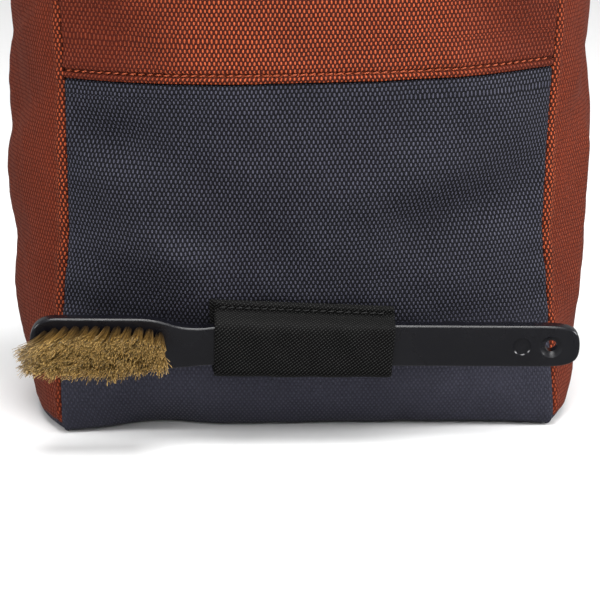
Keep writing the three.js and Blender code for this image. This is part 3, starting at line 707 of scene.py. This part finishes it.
# Grosgrain has one cross rib each 0.8 mm along the tape, and finer warp yarns each 0.45 mm over them. It
# looks matt and finely ribbed.
tape_turns = (2 * math.pi / TAPE_YARN / MM, 2 * math.pi / TAPE_RIB / MM, 0)
tape_waves = add_node(rust_tape, "VectorMath", {0: tape_place, 1: tape_turns}, operation="MULTIPLY")
tape_crests = add_node(rust_tape, "VectorMath", {0: tape_waves}, operation="SINE")
tape_parts = add_node(rust_tape, "SeparateXYZ", {0: tape_crests})
tape_sum = {0: tape_parts, 1: 0.35, 2: tape_parts.outputs[1]}
tape_height = add_node(rust_tape, "Math", tape_sum, operation="MULTIPLY_ADD")
tape_level = add_node(rust_tape, "MapRange", {0: tape_height, 1: -1.35, 2: 1.35})
tape_wear = add_node(rust_tape, "TexNoise", {"Vector": tape_place, "Scale": 60, "Detail": 4})
dark_colours = {0: tape_wear, 6: linear("#3c1409"), 7: linear("#4a1c0d")}
tape_dark = add_node(rust_tape, "Mix", dark_colours, data_type="RGBA").outputs[2]
tape_colours = {0: tape_level, 6: tape_dark, 7: linear("#853a1d")}
tape_tint = add_node(rust_tape, "Mix", tape_colours, data_type="RGBA").outputs[2]
tape_relief = add_node(rust_tape, "Bump", {"Height": tape_level, "Strength": 0.7, "Distance": 0.00015})
tape_look = {"Base Color": tape_tint, "Roughness": 0.7, "Normal": tape_relief, "Specular IOR Level": 0.3}
tape_surface = add_node(rust_tape, "BsdfPrincipled", tape_look)
add_node(rust_tape, "OutputMaterial", {"Surface": tape_surface})


def mouth_loop(z):
    """The outer faces of all four panels at one height, once round, with the directions out of them."""
    front = front_face(-1, panel_steps, z + 0 * panel_steps)
    right = gusset_face(1, gusset_steps, z + 0 * gusset_steps)
    back = front_face(1, panel_steps[::-1], z + 0 * panel_steps)
    left = gusset_face(-1, gusset_steps[::-1], z + 0 * gusset_steps)
    loop = np.concatenate([front, right, back, left])[:, :2]
    closed = np.concatenate([loop, loop[:1]])
    travelled = lengths_along(closed)
    # The strip's ends meet this many millimetres round from the front's left seam.
    even = (BINDING_START + np.linspace(0, travelled[-1], BINDING_STEPS + 1)[:-1]) % travelled[-1]
    even_loop = points_at(even, travelled, closed)
    for _ in range(3):
        even_loop = (np.roll(even_loop, 1, 0) + 2 * even_loop + np.roll(even_loop, -1, 0)) / 4
    tangent = unit(np.roll(even_loop, -1, 0) - np.roll(even_loop, 1, 0))
    out = np.stack([tangent[:, 1], -tangent[:, 0]], -1)
    return even_loop, out * np.sign((out * even_loop).sum(-1, keepdims=True))


def binding_faces():
    """Both faces of the strip: rows round the mouth, columns over the wall from outer to inner foot."""
    foot, top = BAG_HEIGHT - BINDING_DEPTH, BAG_HEIGHT
    reach = CLOTH / 2 + REST_GAP + BINDING_CLOTH / 2  # from the wall's middle to the middle of the strip
    heights = [foot, foot + 0.3, foot + 0.8, foot + 1.5, *np.linspace(foot + 2.3, top - 1.6, 10)]
    outer_leg = [(reach, z) for z in heights]
    turns = np.linspace(0, math.pi, 11)
    over = [(reach * math.cos(t), top - 1.0 + (reach - 0.3) * math.sin(t)) for t in turns]
    path = np.array(outer_leg + over + [(-x, z) for x, z in outer_leg[::-1]])
    tangent = unit(np.gradient(path, axis=0))
    side = np.stack([tangent[:, 1], -tangent[:, 0]], -1)
    ends = np.minimum(np.arange(len(path)), np.arange(len(path))[::-1])
    half = np.interp(ends, [0, 1, 2], [0.12, 0.42, BINDING_CLOTH / 2])
    length = lengths_along(path)
    faces = []
    for way in (1, -1):
        rows = []
        for (depth, z), (side_x, side_z), thick in zip(path, side, half):
            loop, out = mouth_loop(min(z, top))
            # The row of stitches near the foot draws the strip in.
            pull = 0.35 * hump(z - foot, BINDING_STITCH_RISE, 0.8) if way > 0 else 0
            away = depth - CLOTH / 2 + way * thick * side_x - pull * np.sign(depth)
            around = np.linspace(0, 1, len(loop), endpoint=False)
            uneven = 0.15 * ripple(around * 500, 0 * around + z, 41, 14)
            level = np.full((len(loop), 1), z + way * thick * side_z)
            rows.append(np.concatenate([loop + out * (away + uneven)[:, None], level], -1))
        faces.append(np.stack(rows, 1))
    around = lengths_along(faces[0][:, 0])
    around = np.append(around, around[-1] + 1.6)
    flat = np.stack(np.broadcast_arrays(length[None, :], around[:, None]), -1)
    return [np.concatenate([face, face[:1]]) for face in faces], flat


(binding_outer, binding_inner), binding_map = binding_faces()
mouth_binding = cloth_shell("rust_mouth_binding", binding_outer, binding_inner, rust_tape, binding_map)
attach(mouth_binding, "root")
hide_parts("mouth_binding")

for way, name in ((1, "binding_stitches_outside"), (-1, "binding_stitches_inside")):
    level = BAG_HEIGHT - BINDING_DEPTH + BINDING_STITCH_RISE
    loop, out = mouth_loop(level)
    away = -CLOTH / 2 + way * (CLOTH / 2 + REST_GAP + BINDING_CLOTH - 0.3)
    line = np.concatenate([loop + out * away, np.full((len(loop), 1), level)], -1)
    outward = np.concatenate([way * out, np.zeros((len(loop), 1))], -1)
    points, faces = stitch_row(line, outward, 3, 2.4)
    stitches = new_piece(name, points, faces, rust_thread)
    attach(stitches, "root")

# Elastic sleeve: a 56 mm wide strip of black ribbed elastic, looped round the brush's handle. Its two ends
# lie on each other above the handle and are sewn to the wrap with black thread. The front one is shorter.
SLEEVE_LENGTH, SLEEVE_CENTRE, SLEEVE_TOP = 56.2, -2.1, 47.4
ELASTIC, SLEEVE_TAB, TAB_SLANT = 1.1, 4, 2
SLEEVE_ABOVE, SLEEVE_BELOW = 2.5, 3.1
BRUSH_TILT, BRUSH_TURN, BRUSH_DROOP = (math.radians(turn) for turn in (7, 1, 0.75))
HANDLE_THICKNESS, TAIL_WIDTH = 4.4, 13.6
HANDLE_BACK = REST_GAP + ELASTIC + REST_GAP
HANDLE_FRONT = HANDLE_BACK + HANDLE_THICKNESS
TAB_TOP = TAIL_WIDTH / 2 + SLEEVE_ABOVE + SLEEVE_TAB

# The strip's top edge lies on the front, and the brush hangs square to it but for its tilt, turn and droop.
lean, seam_x = (float(v) for v in form_at(SLEEVE_TOP)[:2])
seat_across = (SLEEVE_CENTRE - lean) / seam_x
beside = front_face(-1, np.array([seat_across - 1e-4, seat_across + 1e-4]), np.full(2, SLEEVE_TOP), False)
seat_turn = math.atan2(beside[1, 1] - beside[0, 1], beside[1, 0] - beside[0, 0])
sleeve_frame = (
    Matrix.Translation(Vector(beside.mean(0)))
    @ Matrix.Rotation(seat_turn, 4, "Z")
    @ Matrix.Rotation(BRUSH_TILT, 4, "X")
    @ Matrix.Translation((0, -math.sin(BRUSH_TURN) * SLEEVE_LENGTH / 2, -TAB_TOP))
    @ Matrix.Rotation(BRUSH_DROOP, 4, "Y")
    @ Matrix.Rotation(-BRUSH_TURN, 4, "Z")
)
frame_axes, frame_place = np.array(sleeve_frame.to_3x3()), np.array(sleeve_frame.translation)


def from_brush(along, out, up):
    """Points in the bag's frame from places along the brush, out of the bag's face and up."""
    local = np.stack(np.broadcast_arrays(along, -np.asarray(out, float), up), -1)
    return local @ frame_axes.T + frame_place


# Covered rubber threads woven with polyester: dull, nearly black, with fine slanting ribs
black_elastic = bare_material("black_ribbed_elastic")
elastic_place = add_node(black_elastic, "UVMap", uv_map="cloth")
elastic_noise = {"Vector": elastic_place, "Scale": 300, "Detail": 2}
elastic_wander = add_node(black_elastic, "TexNoise", elastic_noise).outputs["Color"]
elastic_bend = {0: elastic_wander, 1: (0.0004, 0.0004, 0), 2: elastic_place}
elastic_bent = add_node(black_elastic, "VectorMath", elastic_bend, operation="MULTIPLY_ADD")
# Ribs rise to the right, one each 1.35 mm along the strip and each 1.05 mm across it. Each is a line of short
# dashes, which the second wave makes, 0.85 mm from one to the next.
elastic_waves = []
for pitch_along, pitch_across in ((-1.35, 1.05), (1.1, 1.4)):
    turns = (2 * math.pi / pitch_along / MM, 2 * math.pi / pitch_across / MM, 0)
    phase = add_node(black_elastic, "VectorMath", {0: elastic_bent, 1: turns}, operation="DOT_PRODUCT")
    elastic_waves.append(add_node(black_elastic, "Math", {0: phase.outputs["Value"]}, operation="SINE"))
elastic_sum = {0: elastic_waves[1], 1: 0.5, 2: elastic_waves[0]}
elastic_height = add_node(black_elastic, "Math", elastic_sum, operation="MULTIPLY_ADD")
elastic_level = add_node(black_elastic, "MapRange", {0: elastic_height, 1: 0.3, 2: 1.4})
elastic_colours = {0: elastic_level, 6: linear("#010101"), 7: linear("#373736")}
elastic_tint = add_node(black_elastic, "Mix", elastic_colours, data_type="RGBA").outputs[2]
elastic_relief = add_node(black_elastic, "Bump", {"Height": elastic_level, "Strength": 1, "Distance": 0.0005})
elastic_look = {"Base Color": elastic_tint, "Roughness": 0.7, "Specular IOR Level": 0.15}
elastic_surface = add_node(black_elastic, "BsdfPrincipled", {**elastic_look, "Normal": elastic_relief})
add_node(black_elastic, "OutputMaterial", {"Surface": elastic_surface})


def smooth_path(points, count):
    """A smooth line through the points, in even steps."""
    points = np.asarray(points, float)
    padded = np.concatenate([[2 * points[0] - points[1]], points, [2 * points[-1] - points[-2]]])
    out = []
    for a, b, c, d in zip(padded, padded[1:], padded[2:], padded[3:]):
        for t in np.linspace(0, 1, 16, endpoint=False):
            out.append(b + 0.5 * t * (c - a + t * (2 * a - 5 * b + 4 * c - d + t * (3 * (b - c) + d - a))))
    out = np.array(out + [points[-1]])
    length = lengths_along(out)
    even = np.linspace(0, length[-1], count)
    return points_at(even, length, out), even


def sleeve_faces():
    """Both faces of the strip: rows along its path from the back end round the handle to the front end."""
    half = TAIL_WIDTH / 2
    tab_foot, tab_top = half + SLEEVE_ABOVE, TAB_TOP
    fold, front = -half - SLEEVE_BELOW - ELASTIC / 2, HANDLE_FRONT + REST_GAP + ELASTIC / 2
    back = REST_GAP + ELASTIC / 2
    outline = [(back, tab_top), (back, tab_foot), (back, 0), (back, -half), (back + 0.5, fold + 1.2)]
    outline += [((back + front) / 2, fold), (front - 0.5, fold + 1.3), (front, -half), (front + 0.1, 0)]
    outline += [(front - 0.1, half - 1.0), (front - 1.4, half + 0.9), (back + ELASTIC + 0.7, tab_foot - 0.1)]
    outline += [(back + ELASTIC + 0.05, tab_foot + 1), (back + ELASTIC, tab_top - 0.2)]
    path, length = smooth_path(outline, 78)
    tangent = unit(np.gradient(path, axis=0))
    side = np.stack([tangent[:, 1], -tangent[:, 0]], -1)
    if side[len(side) * 6 // 10, 0] < 0:
        side = -side
    across = np.linspace(-1, 1, 61)
    ends = np.abs(across) ** 18
    share = length / length[-1]
    # The back layer is cut a little longer at the left, and the strip is not quite straight.
    left = SLEEVE_LENGTH / 2 + 1.7 * np.clip(1 - share / 0.45, 0, 1) ** 0.5 - 0.3
    right = SLEEVE_LENGTH / 2 + 0.4 * np.sin(share * 9)
    x = np.where(across[None, :] < 0, across[None, :] * left[:, None], across[None, :] * right[:, None])
    loop_share = np.clip((share - 0.35) / 0.2, 0, 1) * np.clip((0.88 - share) / 0.08, 0, 1)
    sag = 0.25 * loop_share[:, None] * (1 - across[None, :] ** 2)
    sag = sag + 0.14 * ripple(x, length[:, None] + 0 * x, 51, 13)
    faces = []
    for way in (1, -1):
        thick = way * ELASTIC / 2 * (1 - 0.45 * ends)[None, :]
        rounding = np.interp(np.minimum(length, length[-1] - length), [0, 0.35], [0.35, 1])[:, None]
        away = thick * rounding + sag * loop_share[:, None]
        # The stitches press their groove into the front.
        tab = hump(length[:, None], length[-1] - 2.0, 0.55) if way > 0 else 0
        away = away - 0.3 * tab
        out = path[:, :1] + side[:, :1] * away
        up = path[:, 1:] + side[:, 1:] * away
        slant = TAB_SLANT * (x + SLEEVE_LENGTH / 2) / SLEEVE_LENGTH
        near_tab = np.clip((path[:, 1:] - half + 1) / (tab_foot - half + 1), 0, 1)
        faces.append(from_brush(x, out, up - slant * near_tab))
    return faces, np.stack([x, np.broadcast_to(length[:, None], x.shape)], -1)


(sleeve_outer, sleeve_inner), sleeve_map = sleeve_faces()
sleeve = cloth_shell("black_elastic_sleeve", sleeve_outer, sleeve_inner, black_elastic, sleeve_map)
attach(sleeve, "root")
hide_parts("elastic_sleeve")

black_thread = thread_material("black_polyester_thread", "#1c1c1c", "#0c0c0c")
stitch_x = np.linspace(-SLEEVE_LENGTH / 2 + 1.5, SLEEVE_LENGTH / 2 - 1.5, 60)
stitch_up = TAB_TOP - 2 - TAB_SLANT * (stitch_x + SLEEVE_LENGTH / 2) / SLEEVE_LENGTH
stitch_line = from_brush(stitch_x, REST_GAP + 2 * ELASTIC - 0.1, stitch_up)
stitch_out = np.broadcast_to(-frame_axes[:, 1], stitch_line.shape)
points, faces = stitch_row(stitch_line, stitch_out, 2.6, 2.1)
tab_stitches = new_piece("sleeve_tab_stitches", points, faces, black_thread)
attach(tab_stitches, "root")

# Brush handle: one injection-moulded piece of black nylon plastic with rounded edges, a broad head for the
# bristles, a narrow neck and a hanging hole in a shallow dish. The mould has left one round mark beside it.
BRUSH_LENGTH, TAIL_REACH, TAIL_TAPER = 171.5, 86.4, 12
NECK_WIDTH, HEAD_WIDTH, HEAD_LENGTH, NECK_LENGTH = 11, 17, 41.5, 16
EDGE_ROUND, EDGE_STEPS = 0.8, 6
FACE_STRIPS, BACK_CROWN, FRONT_CROWN = 8, -0.12, 0.18
HOLE, HOLE_INSET, HOLE_RIM, HOLE_DISH = 3.8, 9, 7.4, 1.2
MARK, MARK_INSET, MARK_DEPTH = 5.4, 18.2, 0.35

black_plastic = bare_material("moulded_black_nylon")
plastic_place = add_node(black_plastic, "TexCoord").outputs["Object"]
# The mould's polish is not perfect: a faint orange peel about 2 mm across, and dull rubbed patches.
peel = add_node(black_plastic, "TexNoise", {"Vector": plastic_place, "Scale": 450, "Detail": 3})
rubbed = add_node(black_plastic, "TexNoise", {"Vector": plastic_place, "Scale": 60, "Detail": 5})
plastic_rough = add_node(black_plastic, "MapRange", {0: rubbed, 1: 0.35, 2: 0.7, 3: 0.2, 4: 0.34})
plastic_colours = {0: rubbed, 6: linear("#09090d"), 7: linear("#0f0f15")}
plastic_tint = add_node(black_plastic, "Mix", plastic_colours, data_type="RGBA").outputs[2]
plastic_relief = add_node(black_plastic, "Bump", {"Height": peel, "Strength": 0.12, "Distance": 0.0002})
plastic_look = {"Base Color": plastic_tint, "Roughness": plastic_rough, "Normal": plastic_relief, "IOR": 1.5}
plastic_surface = add_node(black_plastic, "BsdfPrincipled", plastic_look)
add_node(black_plastic, "OutputMaterial", {"Surface": plastic_surface})


def bezier(a, b, c, d, count):
    """Points along a Bezier curve, without its end."""
    t = np.linspace(0, 1, count, endpoint=False)[:, None]
    a, b, c, d = (np.array(p, float) for p in (a, b, c, d))
    return a * (1 - t) ** 3 + 3 * b * t * (1 - t) ** 2 + 3 * c * t * t * (1 - t) + d * t**3


def handle_outline():
    """The upper half of the handle's outline, from the middle of its head end round to its tail end's."""
    head, tail = TAIL_REACH - BRUSH_LENGTH, TAIL_REACH
    neck, grip = head + HEAD_LENGTH, head + HEAD_LENGTH + NECK_LENGTH
    head_half, neck_half, tail_half = HEAD_WIDTH / 2, NECK_WIDTH / 2, TAIL_WIDTH / 2
    corner, shoulder = (head + head_half, head_half), (neck - head_half, head_half)
    waist = (neck + NECK_LENGTH / 2 + 2, neck_half)
    shaft, taper = (grip + NECK_LENGTH, tail_half), (tail - TAIL_TAPER, tail_half)
    parts = [
        bezier((head, 0), (head, head_half * 0.67), (head + head_half / 3, head_half), corner, 16),
        bezier(corner, (head + 18, head_half), (neck - 20, head_half), shoulder, 14),
        bezier(shoulder, (neck + 1, head_half), (neck + 2, neck_half), waist, 14),
        bezier(waist, (grip, neck_half), (grip, tail_half), shaft, 16),
        bezier(shaft, (20, tail_half), (40, tail_half), taper, 44),
        bezier(taper, (tail - tail_half / 3, tail_half), (tail, tail_half * 0.8), (tail, 0), 22),
    ]
    return np.concatenate([*parts, [(tail, 0)]])


def handle_mesh():
    """Points and faces: rings round the rounded edge, closed by strips across the front and back."""
    upper = handle_outline()
    neck = TAIL_REACH - BRUSH_LENGTH + HEAD_LENGTH
    tangent = np.gradient(upper, axis=0)
    tangent[0], tangent[-1] = (0, 1), (0, -1)
    inward = unit(np.stack([tangent[:, 1], -tangent[:, 0]], -1))
    turns = np.linspace(0, math.pi / 2, EDGE_STEPS)
    heights = HANDLE_THICKNESS / 2 - EDGE_ROUND
    profile = [(EDGE_ROUND * (1 - math.cos(t)), heights + EDGE_ROUND * math.sin(t)) for t in turns]
    profile = [(d, -h) for d, h in profile[::-1]] + [(d, h) for d, h in profile]
    count = len(upper)
    loop = 2 * count - 2  # both end points lie on the middle line and are shared
    points = []
    middle = (HANDLE_BACK + HANDLE_FRONT) / 2
    for depth, height in profile:
        ring = upper + inward * depth
        ring[0, 1] = ring[-1, 1] = 0
        # The lower edge has no waist: it tapers from the head's width to the tail's.
        lower = ring[-2:0:-1].copy()
        taper = np.clip((lower[:, 0] - neck + 5) / 22, 0, 1)
        straight = (HEAD_WIDTH - (HEAD_WIDTH - TAIL_WIDTH) * taper * taper * (3 - 2 * taper)) / 2 - depth
        waisted = (lower[:, 0] > neck - HEAD_WIDTH / 2) & (lower[:, 0] < neck + 2 * NECK_LENGTH)
        lower[:, 1] = -np.where(waisted, np.maximum(straight, lower[:, 1]), lower[:, 1])
        points += [(x, middle + height, y) for x, y in np.concatenate([ring, lower])]
    faces = ring_faces(len(profile), loop)[:-2]
    # The flat faces are strips across from the upper to the lower outline, with a slight crown.
    for ring_start, crown in ((0, BACK_CROWN), ((len(profile) - 1) * loop, FRONT_CROWN)):
        columns = []
        for i in range(1, count - 1):
            top, bottom = ring_start + i, ring_start + loop - i
            column = [top]
            for share in np.arange(1, FACE_STRIPS) / FACE_STRIPS:
                a, b = np.array(points[top]), np.array(points[bottom])
                raised = np.array((0, crown * 4 * share * (1 - share), 0))
                points.append(tuple(a * (1 - share) + b * share + raised))
                column.append(len(points) - 1)
            columns.append([*column, bottom])
        first, last = ring_start, ring_start + count - 1
        for s in range(FACE_STRIPS):
            faces.append((first, columns[0][s], columns[0][s + 1]))
            faces.append((last, columns[-1][s + 1], columns[-1][s]))
            for near, far in zip(columns, columns[1:]):
                faces.append((near[s], far[s], far[s + 1], near[s + 1]))
    return from_brush(*np.array(points).T), faces


def face_cutter(name, x, steps):
    """A round cutter through the handle's front, from its diameters at distances out of the bag's face."""
    sides = 40
    angles = np.arange(sides) * 2 * math.pi / sides
    rings = [(x + w / 2 * math.cos(a), out, w / 2 * math.sin(a)) for out, w in steps for a in angles]
    return new_piece(name, from_brush(*np.array(rings).T), ring_faces(len(steps), sides), black_plastic)


def faces_out(piece):
    """Turns a closed piece's faces outward."""
    made = bmesh.new()
    made.from_mesh(piece.data)
    bmesh.ops.recalc_face_normals(made, faces=made.faces)
    made.to_mesh(piece.data)
    made.free()


points, faces = handle_mesh()
handle = new_piece("black_brush_handle", points, faces, black_plastic)
faces_out(handle)
top = HANDLE_FRONT + 0.2
dish = top - HOLE_DISH
hole_steps = [(HANDLE_BACK - 1, HOLE + 0.8), (HANDLE_BACK + 0.3, HOLE), (dish, HOLE)]
hole_steps += [(dish + 0.12, HOLE + 0.5), (dish + 0.3, HOLE + 1.4)]
hole_steps += [(top - 0.2, HOLE_RIM - 0.5), (top, HOLE_RIM + 0.1), (top + 1, HOLE_RIM + 2)]
mark_steps = [(top - MARK_DEPTH, MARK - 0.3), (top, MARK + 0.3), (top + 1, MARK + 0.6)]
cutters = [
    face_cutter("hole_cutter", TAIL_REACH - HOLE_INSET, hole_steps),
    face_cutter("mark_cutter", TAIL_REACH - MARK_INSET, mark_steps),
]
for cutter in cutters:
    faces_out(cutter)
    cut = handle.modifiers.new(cutter.name, "BOOLEAN")
    cut.operation, cut.object, cut.solver = "DIFFERENCE", cutter, "EXACT"
shaped = bpy.data.meshes.new_from_object(handle.evaluated_get(bpy.context.evaluated_depsgraph_get()))
handle.modifiers.clear()
handle.data = shaped
shaped.name = handle.name
for cutter in cutters:
    bpy.data.objects.remove(cutter)
shaped.polygons.foreach_set("use_smooth", np.ones(len(shaped.polygons), bool))
shaped.set_sharp_from_angle(angle=math.radians(35))
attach(handle, "root")
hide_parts("brush_handle")

# Bristles: thousands of boar hairs, folded over staples in rows of drilled holes in the head. They are stiff
# and wavy, lean to the head's free end, spread with wear, and their tips are pale with chalk.
BRISTLE_LENGTH, ROOT_LENGTH, ROOT_WIDTH, BRISTLE_INSET = 16, 39, 11.5, 3
TUFTS_ALONG, TUFTS_ACROSS, HAIRS_IN_TUFT = 12, 4, 140
LEAN, DROOP, SPLAY, SPREAD, SWEEP = 0.2, 0.02, 0.14, 0.06, -0.08
HAIR, HAIR_STEPS, SHORT_SHARE = 0.24, 5, 0.06
# How far chance moves a tuft's place, lean and height, a hair's lean, and the curl of its tip
TUFT_STRAY, TUFT_LEAN, TUFT_RISE, HAIR_LEAN, HAIR_CURL = 0.25, 0.03, 0.03, 0.03, 0.04

# Boar hair: translucent horn, so it looks soft and golden with hardly a highlight, each hair its own shade
boar_hair = bare_material("boar_hair")
hair_place = add_node(boar_hair, "UVMap", uv_map="cloth")
hair_parts = add_node(boar_hair, "SeparateXYZ", {0: hair_place})
# Hairs are dark at the root and bleached at the tip.
rise_share = add_node(boar_hair, "Math", {0: hair_parts.outputs[1], 1: 1000}, operation="MULTIPLY")
along_hair = add_node(boar_hair, "ValToRGB", {"Fac": rise_share})
hair_colours = ((0.1, "#33240f"), (0.7, "#75592a"), (0.92, "#8d713d"), (1, "#b29358"))
fill_ramp(along_hair.color_ramp, [(at, linear(code)) for at, code in hair_colours])
own_shade = add_node(boar_hair, "NewGeometry").outputs["Random Per Island"]
shade_level = add_node(boar_hair, "MapRange", {0: own_shade, 1: 0, 2: 1, 3: 0.3, 4: 1.6})
hair_tint = add_node(boar_hair, "VectorMath", {0: along_hair, 3: shade_level}, operation="SCALE")
# Chalk dust clings to the tips at the free end and greys them.
chalk_level = add_node(boar_hair, "Math", {0: hair_parts, 1: 1000}, operation="MULTIPLY")
chalk_colours = {0: chalk_level, 6: hair_tint, 7: linear("#b9b2a4")}
chalked = add_node(boar_hair, "Mix", chalk_colours, data_type="RGBA").outputs[2]
hair_look = {"Base Color": chalked, "Roughness": 0.5, "Specular IOR Level": 0.25}
hair_surface = add_node(boar_hair, "BsdfPrincipled", hair_look)
add_node(boar_hair, "OutputMaterial", {"Surface": hair_surface})


def hairs():
    """Every hair as a thin three-sided tube, with its place from root to tip and its share of chalk."""
    luck = random.Random(7)
    root_out = HANDLE_FRONT - 0.4
    middle = TAIL_REACH - BRUSH_LENGTH + BRISTLE_INSET + ROOT_LENGTH / 2
    pitch_along, pitch_across = ROOT_LENGTH / TUFTS_ALONG, ROOT_WIDTH / TUFTS_ACROSS
    rise = np.linspace(0, 1, HAIR_STEPS)
    corner = np.arange(3) * 2 * math.pi / 3
    points, places, faces = [], [], []
    for i in range(TUFTS_ALONG):
        for j in range(TUFTS_ACROSS):
            tuft_x = (i + 0.5) * pitch_along - ROOT_LENGTH / 2 + luck.uniform(-TUFT_STRAY, TUFT_STRAY)
            narrowing = math.sqrt(max(1 - (2 * tuft_x / ROOT_LENGTH) ** 4, 0.2))
            tuft_y = ((j + 0.5) * pitch_across - ROOT_WIDTH / 2) * narrowing + luck.uniform(0.75, 1.05)
            tuft_lean = (luck.gauss(0, TUFT_LEAN), luck.gauss(0, TUFT_LEAN))
            tuft_height = 1 + luck.gauss(0, TUFT_RISE)
            for _ in range(HAIRS_IN_TUFT):
                angle, radius = luck.uniform(0, 2 * math.pi), math.sqrt(luck.random())
                dx, dy = math.cos(angle) * radius, math.sin(angle) * radius
                x0, y0 = tuft_x + dx * 1.15, tuft_y + dy * 1.1
                height = BRISTLE_LENGTH * tuft_height * luck.uniform(0.93, 1.03)
                if luck.random() < SHORT_SHARE:
                    height *= luck.uniform(0.7, 0.9)
                near_end = max(-2 * x0 / ROOT_LENGTH, 0)
                lift = SWEEP * near_end**2 - DROOP
                # Splay follows the hair's place in the block and in its own tuft.
                lean_x = SPLAY * x0 / BRISTLE_LENGTH - LEAN + tuft_lean[0] + dx * 0.04
                lean_x += luck.gauss(0, HAIR_LEAN)
                lean_y = SPREAD * y0 / BRISTLE_LENGTH + lift + tuft_lean[1] + dy * 0.04
                lean_y += luck.gauss(0, HAIR_LEAN)
                wave_size, wave_turn = luck.uniform(0.1, 0.45), luck.uniform(0, 2 * math.pi)
                wave_phase, waves = luck.uniform(0, 6.28), luck.uniform(0.8, 1.8)
                sway = wave_size * np.sin(wave_phase + rise * 6.28 * waves) * rise
                # Only its last few millimetres curl, each its own way.
                curl, bend = rise**4 * height, rise**1.15
                x = x0 + lean_x * height * bend + math.cos(wave_turn) * sway + luck.gauss(0, HAIR_CURL) * curl
                y = y0 + lean_y * height * bend + math.sin(wave_turn) * sway
                y = y + luck.gauss(0.02, HAIR_CURL) * curl
                z = root_out + height * rise
                thick = HAIR / 2 * (1 - 0.25 * rise)
                faces += ring_faces(HAIR_STEPS, 3, 3 * HAIR_STEPS * len(places))
                ring_x = x[:, None] + thick[:, None] * np.cos(corner + angle)
                ring_y = y[:, None] + thick[:, None] * np.sin(corner + angle)
                points.append(np.stack([ring_x + middle, z[:, None] + 0 * ring_x, ring_y], -1).reshape(-1, 3))
                chalk = min(max((near_end - 0.7) * 2.5, 0), 1) * luck.uniform(0.2, 1)
                stray = 0.2 if luck.random() < 0.1 else 0.0
                share = np.repeat(np.clip(chalk + stray, 0, 1) * np.clip(rise * 1.6 - 0.75, 0, 1), 3)
                places.append(np.stack([share, np.repeat(rise, 3)], -1))
    return from_brush(*np.concatenate(points).T), faces, np.concatenate(places)


points, faces, places = hairs()
bristles = new_piece("boar_bristles", points, faces, boar_hair, places)
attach(bristles, "root")
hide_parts("brush_bristles")
